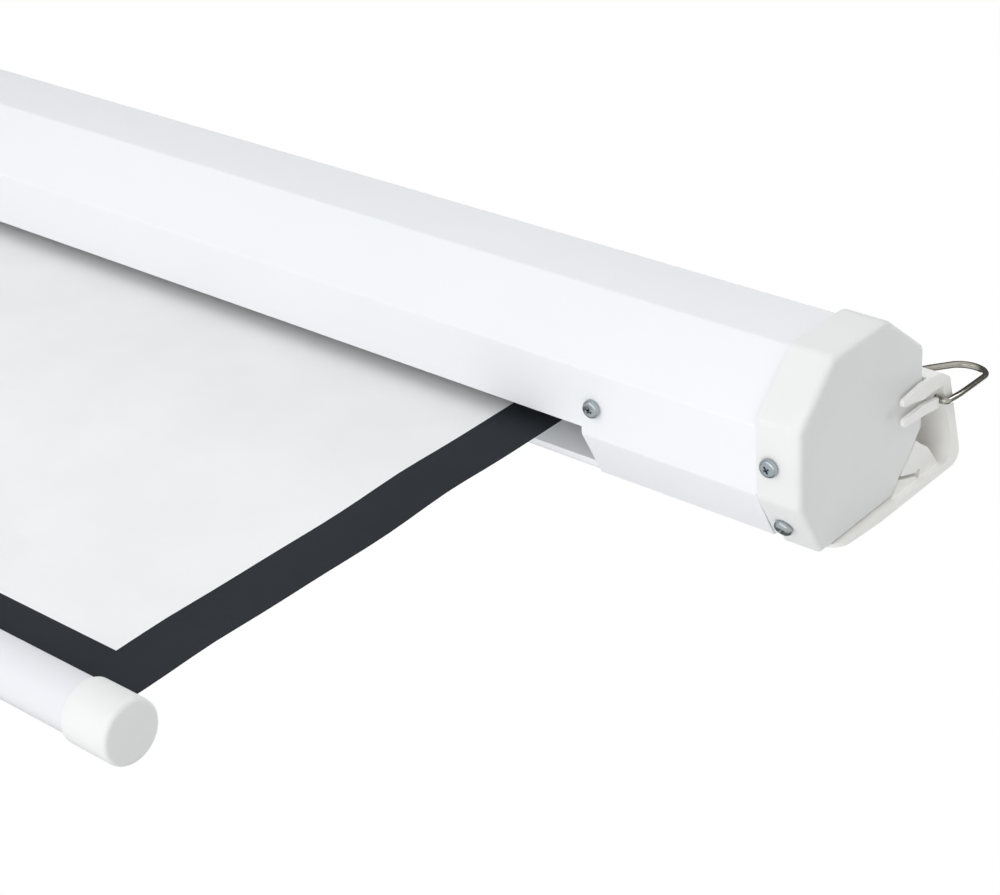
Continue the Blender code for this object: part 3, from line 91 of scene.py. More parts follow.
# Corner cuts of the caps' and the case's section in millimetres, as (depth, height): front bottom,
# front top, back top and back bottom
CAP_CUTS = ((19.5, 20.2), (20.0, 23.5), (19.5, 19.5), (22.7, 12.5))
CASE_CUTS = ((20.6, 21.3), (19.2, 22.5), (18.1, 18.1), (20.6, 10.1))
CASE_BOTTOM, CASE_TOP = 0.0014, 0.073

# Edges of the hanger bracket in millimetres, as section points
HOOP_FRONT = ((32.3, 57.0), (31.6, 70.0), (33.3, 83.2), (37.4, 89.2))
FINGER_A_BACK = ((34.9, 57.2), (36.4, 64.0), (38.6, 71.6), (38.7, 80.0), (39.6, 87.5))
FINGER_B_FRONT = ((40.1, 57.4), (40.6, 71.3), (42.3, 80.0), (43.0, 82.3))
FINGER_B_BACK = ((43.1, 57.8), (44.9, 71.5), (46.3, 80.0), (46.8, 82.3))
FINGER_LEAN = 0.0013  # how far the fingers' tips stand out
PROUD = 0.002  # how far the bracket's outer face stands past the cap's
HOOP_BACK = 0.0984  # height of the hoop's top at the wall
PIVOT_Y, PIVOT_Z = 0.0447, 0.0843  # the wire loop's axis


def srgb(code):
    """A colour written as an sRGB hex value, turned to linear."""
    channels = [int(code[k : k + 2], 16) / 255 for k in (1, 3, 5)]
    return [c / 12.92 if c <= 0.04045 else ((c + 0.055) / 1.055) ** 2.4 for c in channels]


def length(name, description, default):
    """A length property in metres."""
    return FloatProperty(
        name=name, description=description, default=default, min=0.0, precision=5, unit="LENGTH"
    )


def tint(name, description, code):
    """A colour property that starts from an sRGB hex value."""
    look = {"subtype": "COLOR", "size": 3, "min": 0.0, "max": 1.0}
    return FloatVectorProperty(name=name, description=description, default=srgb(code), **look)


class ScreenSizes(bpy.types.PropertyGroup):
    """Sizes of the screen's finished pieces."""

    cap_corner: length("Cap corner", "Radius of the end caps' long corners", 0.0035)
    cap_crown: length("Cap crown", "Radius of the corner over the caps' front flat", 0.009)
    cap_edge: length("Cap edge", "Radius round the end caps' outer face", 0.0026)
    cap_wall: length("Cap wall", "Thickness of the end caps' moulded wall", 0.0011)
    case_fold: length("Case fold", "Radius of the folds in the steel case", 0.0016)
    case_sheet: length("Case sheet", "Thickness of the steel that the case is folded from", 0.0009)
    slot_end: length("Slot end", "Distance from each end to the end of the sheet's slot", 0.0932)
    front_lip: length("Front lip", "Width of the underside behind the slot's front edge", 0.003)
    back_lip: length("Back lip", "Height of the slot's back edge above the lower fold", 0.002)
    hem_depth: length("Slot hem", "How far the slot's back edge is folded inwards", 0.0026)
    hem_lean: length("Slot return", "How far the hem's return leans into the case", 0.0034)
    hem_rise: length("Slot return rise", "How far the hem's return rises into the case", 0.0108)
    border: length("Border", "Width of the black border at each side of the picture", 0.0225)
    border_height: length("Lower border", "Height of the border above the bottom bar", 0.0164)
    ripple: length("Ripple", "How far the free edges of the sheet wave out of its plane", 0.0006)
    wire: length("Loop wire", "Radius of the hanging loops' wire", 0.0013)
    moulded_edge: length("Moulded edge", "Radius on the edges of the hanger brackets", 0.0004)
    bar_wall: length("Bar wall", "Thickness of the bottom bar's tube", 0.001)
    screw_head: length("Screw head", "Diameter of the screws' heads", 0.007)
    screw_height: length("Screw head height", "Height of the screws' heads", 0.0023)
    screw_shank: length("Screw shank", "Diameter of the screws' shanks", 0.0035)
    screw_length: length("Screw length", "Length of the screws under their heads", 0.0095)
    round_steps: IntProperty(
        name="Round steps", description="Faces round a turned piece", default=56, min=16, max=128
    )


class ScreenColours(bpy.types.PropertyGroup):
    """Colours of the screen's finishes."""

    paint: tint("Case paint", "White powder coat on the steel case", "#F2F3F5")
    bar: tint("Bar paint", "Softer white powder coat on the bottom bar", "#E7E8EB")
    cap: tint("End cap", "White moulded plastic of the end caps", "#EDEDEC")
    bracket: tint("Bracket", "Warmer white of the moulded hanger brackets", "#FBFAF6")
    fabric: tint("Picture", "Matte white face of the sheet", "#F2F2F2")
    border: tint("Border", "Black masking round the picture", "#2B2F34")
    backing: tint("Backing", "White coat on the back of the sheet", "#E4E5E5")
    wire: tint("Loop wire", "Plated spring wire of the hanging loops", "#A8A59C")
    screw: tint("Screw", "Bright zinc plate on the screws", "#A6B0B7")
    steel: tint("Steel", "Bare drawn steel of the shaft, pin and spring", "#8E8E8C")
    grey: tint("Grey plastic", "Plugs and brackets that carry the roller", "#8C9096")
    nylon: tint("Nylon", "Natural nylon of the bushing, collar and hem rod", "#E2DFD3")
    floor: tint("Floor", "Pale studio floor", "#F4F4F4")


def at(x, y, z):
    """World position of a section point at a place along the screen."""
    return Vector((x, FRONT + y, BASE + z))


def from_end(side, inset):
    """X of a point that lies a distance in from the outer face of one end cap."""
    return side * (HALF_LENGTH - inset)


def section(points):
    """Section points written in millimetres, as vectors in metres."""
    return [Vector((y * MM, z * MM)) for y, z in points]


def octagon(front, back, bottom, top, cuts):
    """Eight corners of a section, from the front flat's lower end over the top and round."""
    front_bottom, front_top, back_top, back_bottom = section(cuts)
    return [
        Vector((front, bottom + front_bottom.y)),
        Vector((front, top - front_top.y)),
        Vector((front + front_top.x, top)),
        Vector((back - back_top.x, top)),
        Vector((back, top - back_top.y)),
        Vector((back, bottom + back_bottom.y)),
        Vector((back - back_bottom.x, bottom)),
        Vector((front + front_bottom.x, bottom)),
    ]


def cap_corners():
    """Outer corners of an end cap's section."""
    size = CAP_HIGH - CAP_LOW
    return octagon(0.0, size.y, 0.0, size.z, CAP_CUTS)


def case_corners():
    """Outer corners of the case's section."""
    low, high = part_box("case")
    return octagon(low.y - FRONT, high.y - FRONT, CASE_BOTTOM, CASE_TOP, CASE_CUTS)


def rear_slope(corners):
    """Middle of an octagon's lower rear flat, its outward direction and its run upwards."""
    low, high = corners[6], corners[5]
    along = (high - low).normalized()
    return (low + high) / 2, Vector((along.y, -along.x)), along


def inset(corners, distance):
    """Move every side of a convex outline inwards by a distance, or outwards if it is negative."""
    centre = sum(corners, Vector((0.0, 0.0))) / len(corners)
    sides = []
    for index, start in enumerate(corners):
        along = (corners[(index + 1) % len(corners)] - start).normalized()
        normal = Vector((-along.y, along.x))
        if normal.dot(centre - start) < 0:
            normal.negate()
        sides.append((start + normal * distance, along))
    moved = []
    for index, (other, across) in enumerate(sides):
        start, along = sides[index - 1]
        turn = along.x * across.y - along.y * across.x
        gap = other - start
        moved.append(start + along * (gap.x * across.y - gap.y * across.x) / turn)
    return moved


def arc(centre, radius, start, sweep, steps):
    """Points round an arc, as pairs in the plane of its centre."""
    angles = [start + sweep * k / steps for k in range(steps + 1)]
    return [(centre[0] + radius * math.cos(a), centre[1] + radius * math.sin(a)) for a in angles]


def move_made(bm, made, travel):
    """Move the vertices that an extrusion made, and return them."""
    moved = [item for item in made["geom"] if isinstance(item, bmesh.types.BMVert)]
    bmesh.ops.translate(bm, verts=moved, vec=travel)
    return moved


def draw_out(bm, edges, reach):
    """Draw edges at -reach along X into a wall that ends at +reach."""
    made = bmesh.ops.extrude_edge_only(bm, edges=edges)
    move_made(bm, made, X_AXIS * (2 * reach))
    bmesh.ops.recalc_face_normals(bm, faces=bm.faces)


def face_out(bm, face, centre):
    """Turn every face over if the given one looks at the centre line of a round wall."""
    away = face.calc_center_median() - centre
    if face.normal.dot(Vector((0.0, away.y, away.z))) < 0.0:
        bmesh.ops.reverse_faces(bm, faces=bm.faces)


def prism(points, travel):
    """A flat outline of world points carried along a vector into a solid."""
    bm = bmesh.new()
    face = bm.faces.new([bm.verts.new(point) for point in points])
    made = bmesh.ops.extrude_face_region(bm, geom=[face], use_keep_orig=True)
    move_made(bm, made, travel)
    bmesh.ops.recalc_face_normals(bm, faces=bm.faces)
    return bm


def section_prism(outline, start, end):
    """A section carried along X from one place to another."""
    return prism([at(start, *p) for p in outline], Vector((end - start, 0.0, 0.0)))


def box_solid(low, high):
    """A box between two world corners."""
    low, high = Vector(low), Vector(high)
    bm = bmesh.new()
    bmesh.ops.create_cube(bm, size=1.0)
    bmesh.ops.scale(bm, vec=high - low, verts=bm.verts)
    bmesh.ops.translate(bm, vec=(low + high) / 2, verts=bm.verts)
    return bm


def turned(profile, centre, axis, steps):
    """Spin a profile of (distance along the axis, radius) points into a closed round solid."""
    bm = bmesh.new()
    points = [bm.verts.new((along, radius, 0.0)) for along, radius in profile]
    edges = [bm.edges.new(pair) for pair in zip(points, points[1:])]
    bmesh.ops.spin(
        bm, geom=points + edges, cent=(0.0, 0.0, 0.0), axis=X_AXIS, angle=math.tau, steps=steps,
        use_merge=True,
    )
    bmesh.ops.remove_doubles(bm, verts=bm.verts, dist=SAME)
    bmesh.ops.recalc_face_normals(bm, faces=bm.faces)
    turn = X_AXIS.rotation_difference(Vector(axis)).to_matrix().to_4x4()
    bmesh.ops.transform(bm, matrix=Matrix.Translation(centre) @ turn, verts=bm.verts)
    return bm


def bore(radius, depth, centre, axis, steps):
    """Tool that cuts a round hole from a place along an axis."""
    profile = [(0.0, 0.0), (0.0, radius), (depth, radius), (depth, 0.0)]
    return turned(profile, centre, axis, steps)


def bevel(bm, edges, offset, segments):
    """Round edges, with an arc that starts at an offset from them on both faces."""
    bmesh.ops.bevel(
        bm, geom=edges, offset=offset, offset_type="OFFSET", segments=segments, profile=0.5,
        affect="EDGES", clamp_overlap=True, material=-1,
    )


def cut_along(bm, planes, near):
    """Cut a mesh along planes, each a point and a normal, and keep both sides."""
    for point, normal in planes:
        geometry = [*bm.verts, *bm.edges, *bm.faces]
        bmesh.ops.bisect_plane(bm, geom=geometry, plane_co=point, plane_no=normal, dist=near)


def long_edges(bm, axis):
    """Edges of a prism that run along an axis."""
    found = []
    for edge in bm.edges:
        run = edge.verts[1].co - edge.verts[0].co
        if run.length > SAME and abs(run.normalized().dot(axis)) > 0.999:
            found.append(edge)
    return found


def edge_at(bm, axis, place):
    """The edge along an axis that passes nearest to a place."""
    return min(long_edges(bm, axis), key=lambda e: (e.verts[0].co - place).cross(axis).length)


def round_corners(bm, axis, places, radii, segments):
    """Round a prism's long edges, each cut back by what an arc of its radius needs."""
    for place, radius in zip(places, radii):
        edge = edge_at(bm, axis, place)
        angle = edge.calc_face_angle(0.0)
        if radius > 0.0 and angle > 0.01:
            bevel(bm, [edge], radius * math.tan(angle / 2), segments)


def new_object(name, data):
    """An object in the scene that holds some data."""
    item = bpy.data.objects.new(name, data)
    bpy.context.scene.collection.objects.link(item)
    return item


def as_object(name, bm):
    """An object in the scene that holds a bmesh's mesh; the bmesh is used up."""
    mesh = bpy.data.meshes.new(name)
    bm.to_mesh(mesh)
    bm.free()
    return new_object(name, mesh)


def evaluated(piece):
    """What a piece's modifiers make, as a new bmesh."""
    holder = piece.evaluated_get(bpy.context.evaluated_depsgraph_get())
    bm = bmesh.new()
    bm.from_mesh(holder.to_mesh())
    holder.to_mesh_clear()
    return bm


def discard(piece):
    """Remove a temporary object and its mesh."""
    mesh = piece.data
    bpy.data.objects.remove(piece)
    bpy.data.meshes.remove(mesh)


def carve(bm, cut, joined=()):
    """Join solids to a solid, then cut others from it, and return the one solid that is left."""
    piece = as_object("carved", bm)
    tools = []
    for operation, solids in (("UNION", joined), ("DIFFERENCE", cut)):
        for solid in solids:
            tools.append(as_object("tool", solid))
            modifier = piece.modifiers.new("tool", "BOOLEAN")
            modifier.operation = operation
            modifier.solver = "EXACT"
            modifier.object = tools[-1]
    made = evaluated(piece)
    for item in [piece, *tools]:
        discard(item)
    if not made.faces:
        raise RuntimeError("a joined or cut solid has no faces left")
    bmesh.ops.remove_doubles(made, verts=made.verts, dist=2 * SAME)
    bmesh.ops.dissolve_degenerate(made, edges=made.edges, dist=2 * SAME)
    flat = math.radians(0.6)
    bmesh.ops.dissolve_limit(
        made, angle_limit=flat, verts=made.verts, edges=made.edges, use_dissolve_boundaries=False
    )
    return made


def shell(bm, wall):
    """Give a surface its wall thickness on the inside."""
    piece = as_object("shell", bm)
    modifier = piece.modifiers.new("wall", "SOLIDIFY")
    modifier.thickness = wall
    modifier.offset = -1.0
    modifier.use_even_offset = True
    modifier.use_quality_normals = True
    made = evaluated(piece)
    discard(piece)
    return made


def finish(name):
    """A finish that the finishes operator has made."""
    material = bpy.data.materials.get(name)
    if material is None:
        raise RuntimeError(f"the finish {name} is missing; make the finishes first")
    return material


def finish_piece(name, bm, finishes, body, node, edge=0.0, angle=50.0, sharp=35.0):
    """Make a mesh one of the object's pieces: its finishes, its edges, its body and its CAD node.

    Edges over the angle are rounded by a live bevel of the given width, or else those over the
    sharp angle are shaded sharp.
    """
    piece = as_object(name, bm)
    for item in finishes:
        piece.data.materials.append(finish(item))
    piece.data.shade_smooth()
    if edge > 0.0:
        modifier = piece.modifiers.new("edge", "BEVEL")
        modifier.width = edge
        modifier.segments = 3
        modifier.limit_method = "ANGLE"
        modifier.angle_limit = math.radians(angle)
        modifier.harden_normals = True
        modifier.use_clamp_overlap = True
        modifier.miter_outer = "MITER_ARC"
    else:
        piece.data.set_sharp_from_angle(angle=math.radians(sharp))
    if body is not None:
        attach(piece, body)
    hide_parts(node)
    return piece


def add_node(tree, kind, settings=None, links=None):
    """Add one node, set its options and sockets, and link what feeds it.

    A socket goes by its name or its number, and a node that feeds one by its first output.
    """
    node = tree.nodes.new("ShaderNode" + kind)
    for name, value in (settings or {}).items():
        if isinstance(name, int) or name in node.inputs:
            node.inputs[name].default_value = value
        else:
            setattr(node, name, value)
    for name, source in (links or {}).items():
        output = source.outputs[0] if isinstance(source, bpy.types.Node) else source
        tree.links.new(output, node.inputs[name])
    return node


def new_material(name, colour, roughness, **settings):
    """A Principled BSDF material with its even values on the shader's own sockets."""
    material = bpy.data.materials.get(name)
    if material is not None:
        bpy.data.materials.remove(material)
    material = bpy.data.materials.new(name)
    material.use_nodes = True
    sockets = material.node_tree.nodes["Principled BSDF"].inputs
    sockets["Base Color"].default_value = (*colour, 1.0)
    sockets["Roughness"].default_value = roughness
    for socket, value in settings.items():
        sockets[socket.replace("_", " ")].default_value = value
    material.diffuse_color = (*colour, 1.0)
    return material


def scaled(colour, factor):
    """A colour made lighter or darker by a factor."""
    return [min(1.0, channel * factor) for channel in colour]


def vary(material, size, detail, shades=None, roughs=None, depth=0.0, place=None, stretch=1.0):
    """Let a noise pattern with features of about a size in metres vary a material.

    It takes the base colour from the first shade to the second, the roughness from the first value
    to the second, and raises the surface to a depth, whichever of them is given. The pattern lies
    on Object coordinates unless it has a place of its own, and a stretch under 1 draws it out
    along X.
    """
    tree = material.node_tree
    shader = tree.nodes["Principled BSDF"].inputs
    place = place or add_node(tree, "TexCoord").outputs["Object"]
    mapping = add_node(tree, "Mapping", {"Scale": (stretch, 1.0, 1.0)}, {"Vector": place})
    settings = {"Scale": 1.0 / size, "Detail": detail, "Roughness": 0.55}
    noise = add_node(tree, "TexNoise", settings, {"Vector": mapping})
    if shades:
        spread = add_node(tree, "MapRange", {"From Min": 0.35, "From Max": 0.65}, {"Value": noise})
        # sockets 6 and 7 of a Mix node are its two colours, and output 2 is the mixed one
        settings = {"data_type": "RGBA", 6: (*shades[0], 1.0), 7: (*shades[1], 1.0)}
        mix = add_node(tree, "Mix", settings, {"Factor": spread})
        tree.links.new(mix.outputs[2], shader["Base Color"])
    if roughs:
        settings = {"From Min": 0.3, "From Max": 0.7, "To Min": roughs[0], "To Max": roughs[1]}
        spread = add_node(tree, "MapRange", settings, {"Value": noise})
        tree.links.new(spread.outputs[0], shader["Roughness"])
    if depth:
        bump = add_node(tree, "Bump", {"Strength": 1.0, "Distance": depth}, {"Height": noise})
        tree.links.new(bump.outputs[0], shader["Normal"])


def powder_coat(name, colour):
    """Powder coated steel: an even white skin whose slight orange peel softens each highlight."""
    coat = new_material(name, colour, 0.42, Specular_IOR_Level=0.4)
    vary(coat, 0.09, 2.0, shades=(scaled(colour, 0.985), colour))
    vary(coat, 0.0016, 2.0, roughs=(0.38, 0.48), depth=0.00003)


def moulded_plastic(name, colour, depth=0.00004):
    """Injection moulded plastic: a fine spark-eroded texture leaves it dull and even."""
    plastic = new_material(name, colour, 0.5, Specular_IOR_Level=0.45)
    vary(plastic, 0.03, 2.0, shades=(scaled(colour, 0.975), colour))
    vary(plastic, 0.0007, 4.0, roughs=(0.44, 0.58), depth=depth)


def plated_metal(name, colour, roughness, cool, warm, size=0.004):
    """Bright plated steel: thin passivated zinc that drifts between a cool and a warm tint."""
    plate = new_material(name, colour, roughness, Metallic=1.0)
    vary(plate, size, 3.0, shades=(cool, warm))
    vary(plate, 0.0004, 3.0, roughs=(roughness * 0.75, roughness * 1.3), depth=0.00001)


def drawn_steel(name, colour, roughness=0.3):
    """Drawn steel: fine lines along its length from the die."""
    steel = new_material(name, colour, roughness, Metallic=1.0)
    shades = (scaled(colour, 0.82), scaled(colour, 1.08))
    roughs = (roughness * 0.8, roughness * 1.3)
    vary(steel, 0.0006, 3.0, shades, roughs, depth=0.00001, stretch=0.02)


def woven_face(name, colour, roughness, mottle):
    """Coated screen cloth: a matte PVC face over a fine plain weave that just shows as a grid."""
    face = new_material(name, colour, roughness, Specular_IOR_Level=0.2)
    tree = face.node_tree
    cloth = add_node(tree, "UVMap", {"uv_map": "cloth"}).outputs["UV"]
    vary(face, 0.035, 3.0, shades=(scaled(colour, mottle), colour), place=cloth)
    # the real threads are 0.4 mm apart; they are drawn 0.8 mm apart so that they show
    spacing = 0.0008
    settings = {"wave_type": "BANDS", "Scale": 0.31 / spacing, "Distortion": 0.4}
    threads = {}
    for index, direction in enumerate(("X", "Y")):
        settings["bands_direction"] = direction
        threads[index] = add_node(tree, "TexWave", settings, {"Vector": cloth}).outputs["Fac"]
    weave = add_node(tree, "Math", {"operation": "MULTIPLY"}, threads)
    bump = add_node(tree, "Bump", {"Strength": 0.6, "Distance": 0.00002}, {"Height": weave})
    tree.links.new(bump.outputs[0], tree.nodes["Principled BSDF"].inputs["Normal"])


class PieceOperator:
    """What the operators share: each run can be redone with other settings and undone."""

    bl_options = {"REGISTER", "UNDO"}


class SCREEN_OT_finishes(PieceOperator, bpy.types.Operator):
    """Mix every finish of the screen"""

    bl_idname = "screen.finishes"
    bl_label = "Mix Finishes"

    def execute(self, context):
        colours = context.scene.screen_colours
        powder_coat("powder coated steel white", colours.paint)
        powder_coat("powder coated steel soft white", colours.bar)
        moulded_plastic("moulded ABS white", colours.cap)
        moulded_plastic("moulded polypropylene white", colours.bracket, 0.00003)
        moulded_plastic("moulded ABS grey", colours.grey)
        moulded_plastic("natural nylon", colours.nylon, 0.00002)
        woven_face("coated cloth matte white", colours.fabric, 0.92, 0.975)
        woven_face("coated cloth black masking", colours.border, 0.85, 0.9)
        woven_face("coated cloth white backing", colours.backing, 0.8, 0.965)
        zinc, wire = Vector(colours.screw), Vector(colours.wire)
        warm = zinc * 0.92 + Vector((0.06, 0.05, 0.01))
        plated_metal("bright zinc plated steel", colours.screw, 0.3, zinc, warm)
        plated_metal("plated spring wire", colours.wire, 0.16, wire * 0.85, wire * 1.08, 0.01)
        drawn_steel("drawn steel", colours.steel)
        return {"FINISHED"}


class SCREEN_OT_case(PieceOperator, bpy.types.Operator):
    """Fold the octagonal steel case, with the sheet's slot along its lower rear side"""

    bl_idname = "screen.case"
    bl_label = "Fold Case"

    def execute(self, context):
        sizes = context.scene.screen_sizes
        corners = case_corners()
        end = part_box("case")[1].x
        bm = bmesh.new()
        ring = [bm.verts.new(at(-end, *corner)) for corner in corners]
        draw_out(bm, [bm.edges.new((ring[k - 1], ring[k])) for k in range(len(ring))], end)
        bevel(bm, long_edges(bm, X_AXIS), sizes.case_fold * CORNER_CUT, 5)
        slot = HALF_LENGTH - sizes.slot_end
        slot_front = FRONT + corners[6].x - sizes.front_lip
        slot_top = BASE + corners[5].y + sizes.back_lip
        flat_end = HALF_LENGTH - RIM - 0.0012  # the lower rear flat stops 1.2 mm before the caps
        planes = [((x, 0.0, 0.0), X_AXIS) for x in (-flat_end, -slot, slot, flat_end)]
        planes += [((0.0, slot_front, 0.0), Y_AXIS), ((0.0, 0.0, slot_top), Z_AXIS)]
        cut_along(bm, planes, SAME / 10)
        inside_cap, outward, _ = rear_slope(inset(cap_corners(), sizes.cap_wall + GAP))
        gone = []
        for face in bm.faces:
            middle = face.calc_center_median()
            spot = Vector((middle.y - FRONT, middle.z - BASE))
            in_slot = abs(middle.x) < slot and middle.y > slot_front and middle.z < slot_top
            past_end = abs(middle.x) > flat_end and (spot - inside_cap).dot(outward) > 0.0
            if in_slot or past_end:
                gone.append(face)
        bmesh.ops.delete(bm, geom=gone, context="FACES")
        hem = [
            edge
            for edge in bm.edges
            if all(abs(v.co.z - slot_top) < SAME and v.co.y > slot_front for v in edge.verts)
        ]
        for step in ((0.0, -sizes.hem_depth, 0.0), (0.0, -sizes.hem_lean, sizes.hem_rise)):
            moved = move_made(bm, bmesh.ops.extrude_edge_only(bm, edges=hem), step)
            hem = [edge for edge in bm.edges if all(vert in moved for vert in edge.verts)]
        finish_piece(
            "case_shell", shell(bm, sizes.case_sheet), ["powder coated steel white"], "housing",
            "case", edge=0.00018,
        )
        return {"FINISHED"}


class SCREEN_OT_end_caps(PieceOperator, bpy.types.Operator):
    """Mould the two end caps, each a shallow cup that is notched for its rear screw"""

    bl_idname = "screen.end_caps"
    bl_label = "Mould End Caps"

    def execute(self, context):
        sizes = context.scene.screen_sizes
        corners = cap_corners()
        _, outward, _ = rear_slope(corners)
        turn = Matrix.Rotation(math.atan2(outward.y, outward.x), 4, "X")
        for side, word in SIDES:
            rim_x, face_x = from_end(side, RIM), from_end(side, 0.0)
            bm = section_prism(corners, rim_x, face_x)
            open_end = [f for f in bm.faces if abs(f.calc_center_median().x - rim_x) < SAME]
            bmesh.ops.delete(bm, geom=open_end, context="FACES")
            crown = edge_at(bm, X_AXIS, at(rim_x, *corners[1]))
            others = [edge for edge in long_edges(bm, X_AXIS) if edge != crown]
            bevel(bm, others, sizes.cap_corner * CORNER_CUT, 6)
            bevel(bm, [crown], sizes.cap_crown * CORNER_CUT, 6)
            rim = [e for e in bm.edges if all(abs(v.co.x - face_x) < SAME for v in e.verts)]
            bevel(bm, rim, sizes.cap_edge, 6)
            bm = shell(bm, sizes.cap_wall)
            # the notch lies across the rim, at the foot of the rear flat
            notch = box_solid((-0.003, -0.0033, -0.0045), (0.003, 0.003, 0.00675))
            place = Matrix.Translation(at(rim_x, *corners[5])) @ turn
            bmesh.ops.transform(notch, matrix=place, verts=notch.verts)
            finish_piece(
                f"cap_{word}", carve(bm, [notch]), ["moulded ABS white"], "housing",
                f"end_cap_{word}", edge=0.0002,
            )
        return {"FINISHED"}


def hoop_top(y, down=0.0):
    """Height of the hoop's sloping top at a depth, or of a line that far below it."""
    corner = section(HOOP_FRONT)[-1]
    slope = (HOOP_BACK - corner.y) / (WALL - corner.x)
    return corner.y + (y - corner.x) * slope - down


def rounded_prism(outline, radii, start, end, segments=6):
    """A section prism whose long corners are rounded, each to its own radius."""
    bm = section_prism(outline, start, end)
    round_corners(bm, X_AXIS, [at(start, *p) for p in outline], radii, segments)
    return bm


def finger(front, back, thin, start, end):
    """A finger on the cap's face, between its front and its back line, with rounded tips."""
    step = Vector((thin, 0.0))
    outline = [point + step for point in front] + [point - step for point in reversed(back)]
    tip = (outline[-1] - outline[0]).length * 0.42  # nearly a half round
    radii = [tip] + [0.0] * (len(outline) - 2) + [tip]
    bm = rounded_prism(outline, radii, start, end, 5)
    low, high = outline[0].y, front[-1].y
    for vert in bm.verts:
        share = (high - (vert.co.z - BASE)) / (high - low)
        vert.co.x += math.copysign(FINGER_LEAN * max(0.0, share), end)
    return bm


def keyhole(x):
    """Tool for the screw slot of a wall plate: a round entry with a narrower slot above it."""
    entry, slit, rise = 0.004, 0.0021, 0.006
    front, depth = -0.0055, 0.0085
    half = math.asin(slit / entry)
    points = arc((x, -BASE - rise), entry, math.pi / 2 + half, math.tau - 2 * half, 32)
    points += arc((x, -BASE), slit, 0.0, math.pi, 12)
    return prism([Vector((px, front, BASE + pz)) for px, pz in points], Y_AXIS * depth)


def gusset(side, line, plate):
    """Gusset between the cap's rear slope and the wall plate, and the cuts of its relief slit."""
    high, low = line[3], line[4]
    slope = (low - high).normalized()
    outward = Vector((-slope.y, slope.x))
    foot_z, thick, root = 0.072, 0.0022, plate + 0.0006
    foot = high + slope * ((high.y - foot_z) / -slope.y) + outward * HAIR
    outline = [
        foot,
        foot + outward * thick,
        Vector((0.062, 0.0795)),
        Vector((root, 0.087)),
        Vector((root, low.y + 0.001)),
        low + outward * HAIR,
    ]
    inner, outer = from_end(side, 0.0054), from_end(side, 0.0004)
    solid = rounded_prism(outline, [0.0, 0.0015, 0.004, 0.0, 0.0, 0.0], inner, outer)
    # the slit runs down from its round hole and leans forward, and both cuts are blind
    hole, radius = Vector((plate - 0.0018, 0.0734)), 0.0017
    lean, half, reach = math.radians(18.0), 0.0007, 0.0193
    down = Vector((-math.sin(lean), -math.cos(lean)))
    across = Vector((down.y, -down.x)) * half
    far = hole + down * reach
    floor, past = inner + side * 0.0004, outer + side * 0.001
    slit = section_prism([hole + across, far + across, far - across, hole - across], floor, past)
    relief = bore(radius, abs(past - floor), at(floor, *hole), X_AXIS * side, 32)
    return solid, slit, relief


def plate_end(side):
    """Tool that rounds the two lower corners of a wall plate."""
    middle, half = from_end(side, 0.00775), 0.00975
    low_x, high_x = middle - half, middle + half
    low, corner, spare, depth = 0.01815, 0.0085, 0.003, 0.0063
    rise = low + corner
    outline = [(low_x - spare, rise)]
    outline += arc((low_x + corner, rise), corner, math.pi, math.pi / 2, 10)
    outline += arc((high_x - corner, rise), corner, math.pi * 1.5, math.pi / 2, 10)
    outline += [(high_x + spare, rise), (high_x + spare, low - spare), (low_x - spare, low - spare)]
    front = CAP_HIGH.y + HAIR
    return prism([Vector((x, front, BASE + z)) for x, z in outline], Y_AXIS * depth)


def hoop_solid(side, plate, foot, knee, corner):
    """The wall plate and the hoop over it, with softened edges round the hoop's mouth."""
    out_x = from_end(side, -PROUD)
    foot_z, thick, wall = 0.018, 0.0046, Vector((0.003, 0.0))
    mouth = corner.x + 0.0018  # where the hoop's mouth begins behind its front wall
    outline = [
        foot,
        knee,
        corner,
        Vector((WALL, HOOP_BACK)),
        Vector((WALL, 0.046)),
        Vector((WALL - 0.002, foot_z)),
        Vector((plate, foot_z)),
        Vector((plate, hoop_top(plate, thick))),
        Vector((mouth, hoop_top(mouth, thick))),
        knee + wall,
        foot + wall,
    ]
    radii = [0.0, 0.004, 0.002, 0.005, 0.0, 0.0004, 0.0004, 0.006, 0.0006, 0.0006, 0.0]
    bm = rounded_prism(outline, radii, from_end(side, RIM), out_x, 8)
    soft = []
    for edge in bm.edges:
        middle = (edge.verts[0].co + edge.verts[1].co) / 2
        y, z = middle.y - FRONT, middle.z - BASE
        on_face = all(abs(vert.co.x - out_x) < SAME for vert in edge.verts)
        in_mouth = mouth < y < WALL - 0.0012 and foot_z + 0.001 < z < hoop_top(y, 0.003)
        if on_face and in_mouth:
            soft.append(edge)
    bevel(bm, soft, 0.0016, 4)
    return bm


